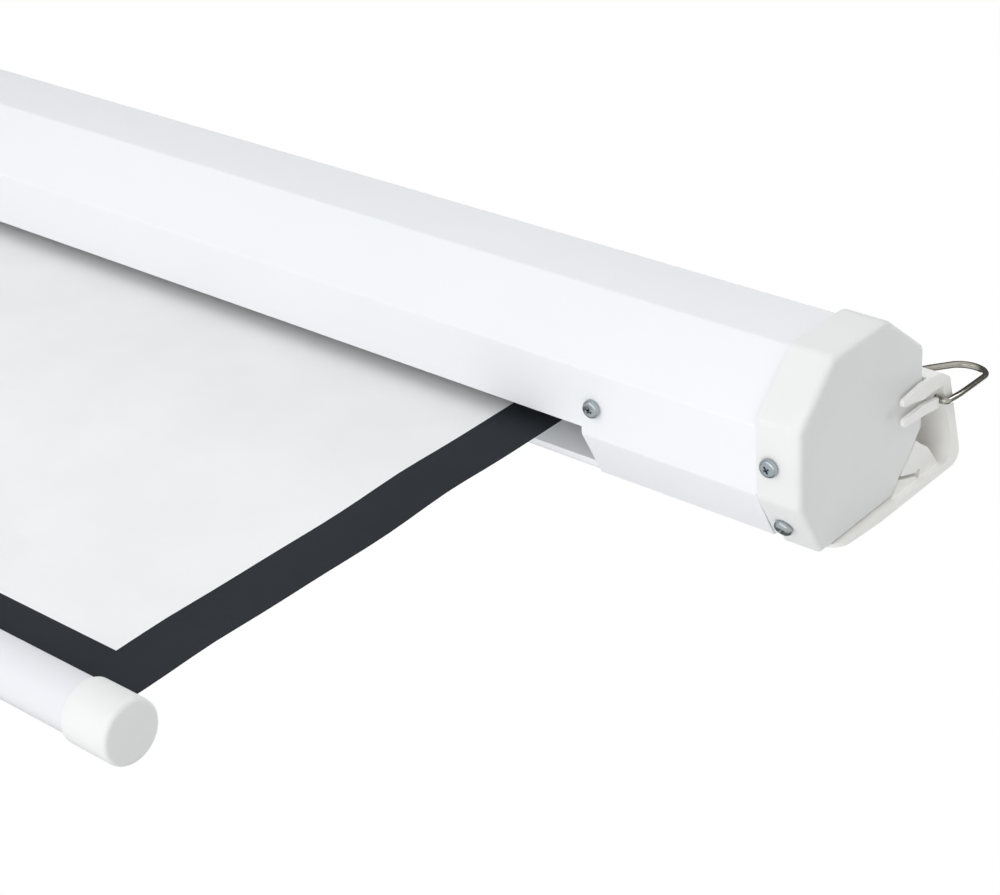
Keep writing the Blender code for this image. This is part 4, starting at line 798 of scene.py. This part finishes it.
class SCREEN_OT_hanger_brackets(PieceOperator, bpy.types.Operator):
    """Mould the two hanger brackets: wall plate, hoop, saddle, fingers and loop eyes"""

    bl_idname = "screen.hanger_brackets"
    bl_label = "Mould Hanger Brackets"

    def execute(self, context):
        sizes = context.scene.screen_sizes
        for side, word in SIDES:
            joined, cut = self.walls(side, sizes.wire + GAP)
            finish_piece(
                f"bracket_{word}", carve(joined.pop(0), cut, joined),
                ["moulded polypropylene white"], "housing", f"hanger_bracket_{word}",
                edge=sizes.moulded_edge, angle=35.0,
            )
        return {"FINISHED"}

    def walls(self, side, loose):
        """The moulded walls that one bracket is joined from, and the tools that cut it."""
        cap = cap_corners()
        wall = 0.0022
        line, outer = inset(cap, -GAP), inset(cap, -(GAP + wall))
        plate, foot_z = cap[4].x + GAP, cap[2].y + GAP
        rooted = plate + 0.001  # walls run this far into the wall plate
        out_x, in_x = from_end(side, -PROUD), from_end(side, RIM)
        front = section(HOOP_FRONT)
        low, knee, corner = front[1:]
        foot_y = low.x + (knee.x - low.x) * (foot_z - low.y) / (knee.y - low.y)
        foot = Vector((foot_y, foot_z))
        saddle = [
            foot + Vector((0.0005, 0.0)),
            line[3],
            line[4],
            Vector((rooted, line[4].y)),
            Vector((rooted, outer[4].y)),
            outer[4],
            outer[3],
            Vector((foot.x + 0.001, outer[3].y)),
        ]
        # the web and the eye end this far below the hoop's top, inside its wall
        under, web_y = 0.0015, corner.x + 0.0005
        web = [
            Vector((foot.x + 0.001, foot_z + 0.0005)),
            knee + Vector((0.001, 0.0)),
            Vector((web_y, hoop_top(web_y, under))),
            Vector((rooted, hoop_top(rooted, under))),
            Vector((rooted, line[4].y + 0.002)),
            line[4] + Vector((0.0, 0.001)),
            line[3] + Vector((0.0, 0.0007)),
        ]
        pivot, half = Vector((PIVOT_Y, PIVOT_Z)), 0.0046
        eye = [
            Vector((pivot.x - half, hoop_top(pivot.x - half, under))),
            Vector((pivot.x - half, pivot.y - half)),
            Vector((pivot.x + half, pivot.y - half)),
            Vector((pivot.x + half, hoop_top(pivot.x + half, under))),
        ]
        gusset_solid, slit, relief = gusset(side, line, plate)
        tips = (from_end(side, -GAP), out_x - side * HAIR)
        joined = [
            hoop_solid(side, plate, foot, knee, corner),
            section_prism(saddle, in_x + side * HAIR, from_end(side, 0.003)),
            section_prism(web, in_x + side * 2 * HAIR, in_x + side * 0.002),
            gusset_solid,
            rounded_prism(
                eye, [0.0, 0.002, 0.0035, 0.0], from_end(side, 0.0008), from_end(side, 0.0038)
            ),
            finger(front[:3], section(FINGER_A_BACK), HAIR, *tips),
            finger(section(FINGER_B_FRONT), section(FINGER_B_BACK), 0.0, *tips),
        ]
        past = 0.003
        start = at(in_x - side * past, *pivot)
        pin_hole = bore(loose, abs(out_x - in_x) + 2 * past, start, X_AXIS * side, 24)
        return joined, [pin_hole, keyhole(from_end(side, 0.009)), slit, relief, plate_end(side)]


def loop_path(side, wire):
    """Centre line of a hanging loop, from its inner pin to its outer pin."""
    outer = HALF_LENGTH + PROUD + GAP + wire
    inner = HALF_LENGTH - RIM - GAP - wire
    middle, half = (outer + inner) / 2, (outer - inner) / 2
    height, pin = 0.0364, 0.0066  # of the whole loop, and length of each pin
    bend, skew = 0.0078, 0.0016  # radius of the top bend, and how far it is off the middle
    shoulder, tight = 0.005, wire * 1.4  # how far the lower bends reach along the wire
    inner_leg, outer_leg = Vector((middle - half, 0.0195)), Vector((middle + half, 0.0094))
    points = [Vector((middle - half + pin, 0.0)), Vector((middle - half, 0.0)), inner_leg]
    centre = Vector((middle + skew, height - bend))
    reach = centre - inner_leg
    start = math.atan2(reach.y, reach.x) + math.asin(bend / reach.length) + math.pi / 2
    reach = centre - outer_leg
    end = math.atan2(reach.y, reach.x) - math.asin(bend / reach.length) - math.pi / 2
    for k in range(25):
        angle = start + (end - start) * k / 24
        points.append(centre + bend * Vector((math.cos(angle), math.sin(angle))))
    points += [outer_leg, Vector((middle + half, 0.0)), Vector((middle + half - pin, 0.0))]
    count = len(points)
    bends = {1: tight, 2: shoulder, count - 3: shoulder, count - 2: tight}
    smooth = []
    for index, point in enumerate(points):
        if index not in bends:
            smooth.append(point)
            continue
        before, after = points[index - 1] - point, points[index + 1] - point
        reach = min(bends[index], before.length * 0.45, after.length * 0.45)
        start, end = point + before.normalized() * reach, point + after.normalized() * reach
        for k in range(7):
            t = k / 6
            smooth.append(start * (1 - t) ** 2 + point * 2 * t * (1 - t) + end * t * t)
    lean = math.radians(8.0)
    return [
        at(side * p.x, PIVOT_Y + p.y * math.sin(lean), PIVOT_Z + p.y * math.cos(lean))
        for p in smooth
    ]


class SCREEN_OT_hanging_loops(PieceOperator, bpy.types.Operator):
    """Bend the two wire loops that the screen hangs from"""

    bl_idname = "screen.hanging_loops"
    bl_label = "Bend Hanging Loops"

    def execute(self, context):
        wire = context.scene.screen_sizes.wire
        for side, word in SIDES:
            points = loop_path(side, wire)
            curve = bpy.data.curves.new(f"loop_path_{word}", "CURVE")
            curve.dimensions = "3D"
            curve.bevel_depth = wire
            curve.bevel_resolution = 6
            curve.use_fill_caps = True
            spline = curve.splines.new("POLY")
            spline.points.add(len(points) - 1)
            for target, point in zip(spline.points, points):
                target.co = (*point, 1.0)
            holder = new_object(curve.name, curve)
            bm = evaluated(holder)
            bpy.data.objects.remove(holder)
            bpy.data.curves.remove(curve)
            bmesh.ops.remove_doubles(bm, verts=bm.verts, dist=SAME)
            bmesh.ops.recalc_face_normals(bm, faces=bm.faces)
            finish_piece(
                f"wire_loop_{word}", bm, ["plated spring wire"], f"loop_{word}",
                f"hanging_loop_{word}",
            )
        return {"FINISHED"}


def screw_solid(sizes):
    """A pan head screw along X with its seat at the origin and a cross recess in its crown."""
    head, shank = sizes.screw_head / 2, sizes.screw_shank / 2
    tall, long = sizes.screw_height, sizes.screw_length
    # the thread's core is thinner than the neck, and the crown rises from the rim to a small flat
    core, rim, flat = shank * 0.9, tall * 0.2, head * 0.3
    profile = [(-long, 0.0), (-long + shank, core), (-0.0004, core), (-0.0001, shank)]
    profile += [(0.0, head * 0.94), (0.00012, head * 0.985), (rim, head)]
    for k in range(1, 8):
        angle = math.radians(90.0 * k / 8)
        along = tall * (0.2 + 0.8 * math.sin(angle) ** 0.9)
        profile.append((along, head * (0.3 + 0.7 * math.cos(angle) ** 0.75)))
    profile += [(tall, flat), (tall, 0.0)]
    bm = turned(profile, Vector((0.0, 0.0, 0.0)), X_AXIS, 40)
    deep, reach, half = 0.0013, 0.0019, 0.0005
    arms = []
    for turn in (0.0, math.pi / 2):
        arm = box_solid((tall - deep, -reach, -half), (tall + 0.001, reach, half))
        low = [v for v in arm.verts if v.co.x < tall]
        bmesh.ops.scale(arm, vec=(1.0, 0.45, 0.7), verts=low)
        bmesh.ops.rotate(arm, cent=(0, 0, 0), matrix=Matrix.Rotation(turn, 3, "X"), verts=arm.verts)
        arms.append(arm)
    return carve(bm, arms)


def screw_places(sizes):
    """Each screw's CAD node, body, seat, outward direction and the turn of its recess."""
    middle, outward, along = rear_slope(cap_corners())
    rear = middle + along * 0.001 + outward * GAP
    out = (0.0, *outward)
    case = case_corners()
    under_y, bracket_y = 0.0354, 0.0372
    places = []
    for side, word in SIDES:
        seat = at(from_end(side, 0.012), under_y, -GAP)
        places.append((f"cap_screw_{word}_under", "housing", seat, -Z_AXIS, 0.5 * side))
        seat = at(from_end(side, 0.011), *rear)
        places.append((f"cap_screw_{word}_rear", "housing", seat, out, 1.0))
        node, x = f"roller_bracket_screw_{word}", from_end(side, 0.0875)
        seat = at(x, bracket_y, case[7].y - GAP)
        places.append((node + "_below", "housing", seat, -Z_AXIS, 0.2 + side))
        seat = at(x, bracket_y, case[2].y + GAP)
        places.append((node + "_above", "housing", seat, Z_AXIS, 0.8))
        low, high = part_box(f"handle_screw_{word}")
        centre = (low + high) / 2
        seat = Vector((centre.x, centre.y, low.z + sizes.screw_height))
        places.append((f"handle_screw_{word}", "bar", seat, -Z_AXIS, 0.3 * side))
    return places


class SCREEN_OT_screws(PieceOperator, bpy.types.Operator):
    """Turn the pan head screws of the caps, the roller brackets and the handle"""

    bl_idname = "screen.screws"
    bl_label = "Turn Screws"

    def execute(self, context):
        sizes = context.scene.screen_sizes
        model = screw_solid(sizes)
        for node, body, seat, direction, twist in screw_places(sizes):
            bm = model.copy()
            turn = X_AXIS.rotation_difference(Vector(direction)).to_matrix()
            place = Matrix.Translation(seat) @ (turn @ Matrix.Rotation(twist, 3, "X")).to_4x4()
            bmesh.ops.transform(bm, matrix=place, verts=bm.verts)
            finish_piece(
                f"pan_{node}", bm, ["bright zinc plated steel"], body, node,
                sharp=32.0,
            )
        model.free()
        return {"FINISHED"}


def ripple_at(x, reach, amount, run):
    """How far the sheet waves out of its plane, most at its two free edges."""
    band = 0.16  # the waves die out this far in from an edge
    near = max(0.0, 1.0 - (reach - abs(x)) / band)
    wave = math.sin(run * math.tau / 0.118 + 0.6) + 0.4 * math.sin(run * math.tau / 0.061 + 2.0)
    return amount * near * near * wave


def lay_cloth(bm):
    """Give cloth its own UV map, in metres across and up, for the weave to follow."""
    layer = bm.loops.layers.uv.new("cloth")
    for face in bm.faces:
        for corner in face.loops:
            corner[layer].uv = (corner.vert.co.x, corner.vert.co.z)


class SCREEN_OT_sheet(PieceOperator, bpy.types.Operator):
    """Hang the sheet from the roll to the bottom bar, with its black border and its hem"""

    bl_idname = "screen.sheet"
    bl_label = "Hang Sheet"

    def execute(self, context):
        sizes = context.scene.screen_sizes
        reach, top = SHEET_HIGH.x, SHEET_HIGH.z
        front_y = (TUBE_LOW.y + TUBE_HIGH.y) / 2 - CLOTH / 2
        rod_z = (ROD_LOW.z + ROD_HIGH.z) / 2
        ring = (ROD_HIGH.z - ROD_LOW.z) / 2 + GAP
        bottom = rod_z + ring
        border_top = TUBE_HIGH.z + sizes.border_height
        inner = reach - sizes.border
        hem_turn = 345.0  # degrees that the hem goes round its rod
        bm = bmesh.new()
        bmesh.ops.create_grid(bm, x_segments=96, y_segments=24, size=0.5)
        bmesh.ops.scale(bm, vec=Vector((2 * reach, top - bottom, 1.0)), verts=bm.verts)
        upright = Matrix.Rotation(math.pi / 2, 4, "X")
        stand = Matrix.Translation((0.0, front_y, (top + bottom) / 2)) @ upright
        bmesh.ops.transform(bm, matrix=stand, verts=bm.verts)
        planes = [((inner, 0.0, 0.0), X_AXIS), ((-inner, 0.0, 0.0), X_AXIS)]
        cut_along(bm, [*planes, ((0.0, 0.0, border_top), Z_AXIS)], SAME)
        for face in bm.faces:
            middle = face.calc_center_median()
            face.material_index = 0 if abs(middle.x) < inner and middle.z > border_top else 1
        for vert in bm.verts:
            # the waves start a fifth of the way down, and grow and fade within a sixth of the way
            depth = (top - vert.co.z) / (top - bottom)
            hold = min(1.0, max(0.0, depth - 0.2) * 6.0) * min(1.0, (1.0 - depth) * 6.0)
            vert.co.y += ripple_at(vert.co.x, reach, sizes.ripple, top - vert.co.z) * hold
        lay_cloth(bm)
        hem = [e for e in bm.edges if all(abs(v.co.z - bottom) < SAME for v in e.verts)]
        bmesh.ops.spin(
            bm, geom=hem + list({v for e in hem for v in e.verts}), axis=X_AXIS,
            cent=(0.0, front_y + CLOTH / 2, rod_z), angle=math.radians(hem_turn), steps=18,
        )
        facing = 0.0
        for face in bm.faces:
            if face.calc_center_median().z < bottom - SAME:
                face.material_index = 1
            if face.material_index == 0:
                facing += face.normal.y * face.calc_area()
        if facing > 0.0:
            bmesh.ops.reverse_faces(bm, faces=bm.faces)
        back = bmesh.ops.solidify(bm, geom=list(bm.faces), thickness=CLOTH * 0.9)
        for item in back["geom"]:
            if isinstance(item, bmesh.types.BMFace):
                item.material_index = 2
        coats = [f"coated cloth {face}" for face in ("matte white", "black masking")]
        coats.append("coated cloth white backing")
        sheet = finish_piece(
            "picture_sheet", bm, coats, None, "screen_sheet", sharp=60.0
        )
        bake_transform(sheet)
        return {"FINISHED"}


class SCREEN_OT_roll(PieceOperator, bpy.types.Operator):
    """Wind the rest of the sheet on the roller as one spiral"""

    bl_idname = "screen.roll"
    bl_label = "Wind Roll"

    def execute(self, context):
        reach = SHEET_HIGH.x
        centre = (CORE_LOW + CORE_HIGH) / 2
        core = (CORE_HIGH.z - CORE_LOW.z) / 2 + GAP
        low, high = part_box("fabric_roll")
        outer = (high.y - low.y) / 2
        steps, spare = 44, 0.6  # faces in a turn, and the part of a turn left off at the core
        count = int(((outer - core) / CLOTH - spare) * steps)
        bm = bmesh.new()
        verts = []
        for k in range(count + 1):
            radius = outer - CLOTH * 0.55 - CLOTH * k / steps  # just inside the solid's outline
            angle = -math.tau * k / steps
            y, z = centre.y + radius * math.cos(angle), centre.z - radius * math.sin(angle)
            verts.append(bm.verts.new((-reach, y, z)))
        draw_out(bm, [bm.edges.new(pair) for pair in zip(verts, verts[1:])], reach)
        lay_cloth(bm)
        outermost = max(bm.faces, key=lambda f: (f.calc_center_median() - centre).yz.length)
        face_out(bm, outermost, centre)
        # thinner than the pitch, so that no turn touches the next
        bmesh.ops.solidify(bm, geom=list(bm.faces), thickness=CLOTH * 0.6)
        roll = finish_piece(
            "roll_of_cloth", bm, ["coated cloth white backing"], "roller", "fabric_roll",
            sharp=60.0,
        )
        return {"FINISHED"}


class SCREEN_OT_bottom_bar(PieceOperator, bpy.types.Operator):
    """Draw the slotted bottom bar and mould its two end caps"""

    bl_idname = "screen.bottom_bar"
    bl_label = "Make Bottom Bar"

    def execute(self, context):
        sizes = context.scene.screen_sizes
        centre = (TUBE_LOW + TUBE_HIGH) / 2
        radius = (TUBE_HIGH.y - TUBE_LOW.y) / 2
        reach, slot = TUBE_HIGH.x, 0.0005  # half of the slot's width
        gap = math.asin(slot / radius)
        y, z = centre.y + radius * math.sin(gap), centre.z + radius * math.cos(gap)
        bm = bmesh.new()
        bmesh.ops.spin(
            bm, geom=[bm.verts.new((-reach, y, z))], cent=(0.0, centre.y, centre.z), axis=X_AXIS,
            angle=-(math.tau - 2 * gap), steps=sizes.round_steps,
        )
        draw_out(bm, list(bm.edges), reach)
        face_out(bm, next(iter(bm.faces)), centre)
        finish_piece(
            "weight_tube", shell(bm, sizes.bar_wall), ["powder coated steel soft white"], "bar",
            "bottom_bar", edge=0.0002,
        )
        for side, word in SIDES:
            finish_piece(
                f"weight_cap_{word}", self.cap(side, word, centre, radius, sizes.round_steps),
                ["moulded ABS white"], "bar", f"bar_cap_{word}", sharp=38.0,
            )
        return {"FINISHED"}

    def cap(self, side, word, centre, radius, steps):
        """Turn one cap of the bar, with a slit that lets the sheet's edge in."""
        low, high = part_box(f"bar_cap_{word}")
        outer, tall = (high.z - low.z) / 2, high.x - low.x
        floor, edge, lip = 0.002, 0.0016, 0.0005  # the closed end, and its and the mouth's rounding
        bored = radius + GAP
        profile = [(floor, 0.0), (floor, bored), (tall, bored), (tall, outer - 0.0006)]
        for k in range(4):
            angle = math.pi / 2 * k / 3
            rise = lip * math.sin(angle)
            profile.append((tall - lip + lip * math.cos(angle), outer - lip + rise))
        for k in range(8):
            angle = math.pi / 2 * k / 7
            rise = edge * math.cos(angle)
            profile.append((edge - edge * math.sin(angle), outer - edge + rise))
        profile.append((0.0, 0.0))
        face = high.x if side > 0 else low.x
        bm = turned(profile, Vector((face, centre.y, centre.z)), X_AXIS * -side, steps)
        start, end = sorted((side * (SHEET_HIGH.x + GAP), face - side * (tall + 0.003)))
        half = 0.0005
        slit = box_solid(
            (start, centre.y - half, centre.z + 0.002),
            (end, centre.y + half, centre.z + outer + 0.003),
        )
        return carve(bm, [slit])


class SCREEN_OT_handle(PieceOperator, bpy.types.Operator):
    """Mould the pull handle under the middle of the bar"""

    bl_idname = "screen.handle"
    bl_label = "Mould Handle"

    def execute(self, context):
        low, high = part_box("pull_handle")
        half, top, bottom = high.x, high.z, low.z
        saddle, past = top - 0.004, 0.003
        pull, rail = 0.026, 0.007  # half of the pull's width, and how wide its rails are
        outline = [(-half, top), (-half, saddle), (-pull, saddle), (-pull, bottom)]
        outline += [(-x, z) for x, z in reversed(outline)]
        radii = [0.0005, 0.0015, 0.0015, 0.009, 0.009, 0.0015, 0.0015, 0.0005]
        hole = [(-pull + rail, saddle), (-pull + rail, bottom + rail)]
        hole += [(-x, z) for x, z in reversed(hole)]
        tool = self.plate(hole, [0.002, 0.006, 0.006, 0.002], low.y - past, high.y + past)
        finish_piece(
            "handle_grip", carve(self.plate(outline, radii, low.y, high.y), [tool]),
            ["moulded ABS white"], "bar", "pull_handle", edge=0.0011, angle=40.0,
        )
        return {"FINISHED"}

    def plate(self, outline, radii, front, back):
        """An (x, z) outline carried along Y, with its corners rounded."""
        points = [Vector((x, front, z)) for x, z in outline]
        bm = prism(points, Y_AXIS * (back - front))
        round_corners(bm, Y_AXIS, points, radii, 8)
        return bm


CARRIED_OVER = {
    "moulded ABS grey": (
        "roller_bracket_right", "roller_bracket_left", "roller_plug_right", "roller_plug_left",
        "spring_anchor",
    ),
    "natural nylon": ("spring_collar", "idler_bushing", "hem_rod"),
    "bright zinc plated steel": ("roller_tube", "ratchet_hub", "pawl_front", "pawl_rear"),
    "drawn steel": ("spring_shaft", "torsion_spring", "idler_pin"),
}


class SCREEN_OT_inner_pieces(PieceOperator, bpy.types.Operator):
    """Give the roller, its lock and its spring their finishes"""

    bl_idname = "screen.inner_pieces"
    bl_label = "Finish Inner Pieces"

    def execute(self, context):
        for name, nodes in CARRIED_OVER.items():
            for node in nodes:
                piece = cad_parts[node]
                piece.data.materials.clear()
                piece.data.materials.append(finish(name))
        return {"FINISHED"}


# Each lamp's name, place, the point that it looks at, its width and height, and its power in watts
LAMPS = (
    ("key_light", (0.9, -0.72, -1.38), (0.6, -0.03, -0.05), (3.2, 1.0), 13.8),
    ("rim_light", (1.5, -0.9, 1.5), (0.85, 0.0, 0.0), (0.6, 0.6), 5.2),
    ("top_light", (0.0, 1.2, 1.9), (0.0, 0.0, -0.05), (3.6, 1.6), 34.0),
)
WHITE = (1.0, 1.0, 1.0, 1.0)
FLOOR_Z, FLOOR_RADIUS = -1.45, 5.0

# Where the camera stands: past the right end, before the front and below the case
CAMERA_PLACE = (HALF_LENGTH + 0.3717, FRONT - 0.3576, BASE - 0.5467)
CAMERA_TURN = ((0.759, -0.280, 0.588), (0.065, -0.866, -0.496), (0.648, 0.414, -0.639))


def add_area_light(name, location, target, size, power):
    """A soft rectangular lamp that looks at a point and isn't seen itself."""
    light = bpy.data.lights.new(name, "AREA")
    light.shape = "RECTANGLE"
    light.size, light.size_y = size
    light.energy = power
    lamp = new_object(name, light)
    lamp.location = location
    lamp.rotation_euler = (Vector(target) - Vector(location)).to_track_quat("-Z", "Y").to_euler()
    lamp.visible_camera = False


class SCREEN_OT_stage(PieceOperator, bpy.types.Operator):
    """Set up the floor, the soft studio light and the camera"""

    bl_idname = "screen.stage"
    bl_label = "Set Up Stage"

    def execute(self, context):
        scene = context.scene
        self.floor(scene.screen_colours.floor)
        self.world(scene)
        for lamp in LAMPS:
            add_area_light(*lamp)
        self.camera(scene)
        scene.view_settings.view_transform = "Standard"
        return {"FINISHED"}

    def floor(self, colour):
        """A round pale floor under the screen, which fades to the white of the room."""
        bm = bmesh.new()
        bmesh.ops.create_circle(bm, cap_ends=True, radius=FLOOR_RADIUS, segments=96)
        bmesh.ops.translate(bm, vec=(0.0, 0.0, FLOOR_Z), verts=bm.verts)
        floor = as_object("studio_floor", bm)
        material = new_material("matte studio floor", colour, 0.9, Specular_IOR_Level=0.1)
        tree = material.node_tree
        place = add_node(tree, "TexCoord").outputs["Object"]
        distance = add_node(tree, "VectorMath", {"operation": "LENGTH"}, {0: place})
        fading = {"interpolation_type": "SMOOTHSTEP", "From Min": 1.6, "From Max": 4.6}
        fade = add_node(tree, "MapRange", fading, {"Value": distance.outputs["Value"]})
        camera_ray = add_node(tree, "LightPath").outputs["Is Camera Ray"]
        seen = add_node(tree, "Math", {"operation": "MULTIPLY"}, {0: fade, 1: camera_ray})
        white = add_node(tree, "Emission", {"Color": WHITE, "Strength": 1.0})
        matte = tree.nodes["Principled BSDF"]
        mix = add_node(tree, "MixShader", {}, {"Fac": seen, 1: matte, 2: white})
        tree.links.new(mix.outputs[0], tree.nodes["Material Output"].inputs["Surface"])
        floor.data.materials.append(material)

    def world(self, scene):
        """Even room light, seen as plain white by the camera and in reflections."""
        world = bpy.data.worlds.new("studio_room")
        scene.world = world
        world.use_nodes = True
        tree = world.node_tree
        tree.nodes.clear()
        rays = add_node(tree, "LightPath").outputs
        either = {"operation": "MAXIMUM"}
        direct = {0: rays["Is Camera Ray"], 1: rays["Is Glossy Ray"]}
        seen = add_node(tree, "Math", either, direct)
        clear = add_node(tree, "Math", either, {0: seen, 1: rays["Is Transmission Ray"]})
        way = add_node(tree, "TexCoord").outputs["Generated"]
        levels = []
        for direction, start, end, least in (
            # the wall past the screen's right end is darker, so that end is in shade
            ((1.0, 0.0, 0.0), -0.2, 0.7, 0.42),
            # a dark cloth high behind the screen draws dark lines on the edges of bright metal
            ((-0.588, 0.496, 0.639), -0.25, 0.35, 0.13),
        ):
            facing = add_node(
                tree, "VectorMath", {"operation": "DOT_PRODUCT", 1: direction}, {0: way}
            )
            span = {"From Min": start, "From Max": end, "To Min": 1.0, "To Max": least}
            levels.append(add_node(tree, "MapRange", span, {"Value": facing.outputs["Value"]}))
        wall, cloth = levels
        shown = add_node(tree, "Math", either, {0: rays["Is Camera Ray"], 1: cloth})
        room = add_node(tree, "Background", {"Color": (0.97, 0.985, 1.0, 1.0)}, {"Strength": wall})
        white = add_node(tree, "Background", {"Color": WHITE}, {"Strength": shown})
        mix = add_node(tree, "MixShader", {}, {"Fac": clear, 1: room, 2: white})
        add_node(tree, "OutputWorld", {}, {"Surface": mix})

    def camera(self, scene):
        """A camera below and in front of the right end, which looks up along the case."""
        data = bpy.data.cameras.new("studio_camera")
        data.sensor_width, data.lens = 36.0, 84.6
        data.clip_start, data.clip_end = 0.02, 60.0
        scene.camera = new_object("studio_camera", data)
        turn = Matrix(CAMERA_TURN).to_quaternion().normalized()
        scene.camera.rotation_euler = turn.to_euler()
        scene.camera.location = CAMERA_PLACE


STEPS = (
    SCREEN_OT_finishes,
    SCREEN_OT_case,
    SCREEN_OT_end_caps,
    SCREEN_OT_hanger_brackets,
    SCREEN_OT_hanging_loops,
    SCREEN_OT_screws,
    SCREEN_OT_roll,
    SCREEN_OT_sheet,
    SCREEN_OT_bottom_bar,
    SCREEN_OT_handle,
    SCREEN_OT_inner_pieces,
    SCREEN_OT_stage,
)


class SCREEN_PT_panel(bpy.types.Panel):
    """Sidebar panel with the screen's sizes, colours and steps"""

    bl_idname = "SCREEN_PT_panel"
    bl_label = "Projector Screen"
    bl_space_type = "VIEW_3D"
    bl_region_type = "UI"
    bl_category = "Projector Screen"

    def draw(self, context):
        for step in STEPS:
            self.layout.operator(step.bl_idname)
        scene = context.scene
        for title, group in (("Sizes", scene.screen_sizes), ("Colours", scene.screen_colours)):
            box = self.layout.box()
            box.label(text=title)
            for name in group.__annotations__:
                box.prop(group, name)


CLASSES = (ScreenSizes, ScreenColours, *STEPS, SCREEN_PT_panel)


def register():
    """Register the classes and put the sizes and colours on the scene."""
    for item in CLASSES:
        bpy.utils.register_class(item)
    bpy.types.Scene.screen_sizes = PointerProperty(type=ScreenSizes)
    bpy.types.Scene.screen_colours = PointerProperty(type=ScreenColours)


def unregister():
    """Take the sizes, the colours and the classes away again."""
    del bpy.types.Scene.screen_colours
    del bpy.types.Scene.screen_sizes
    for item in reversed(CLASSES):
        bpy.utils.unregister_class(item)


def main():
    """Build every piece in order."""
    register()
    for step in STEPS:
        group, name = step.bl_idname.split(".")
        getattr(getattr(bpy.ops, group), name)()


if __name__ == "__main__":
    main()
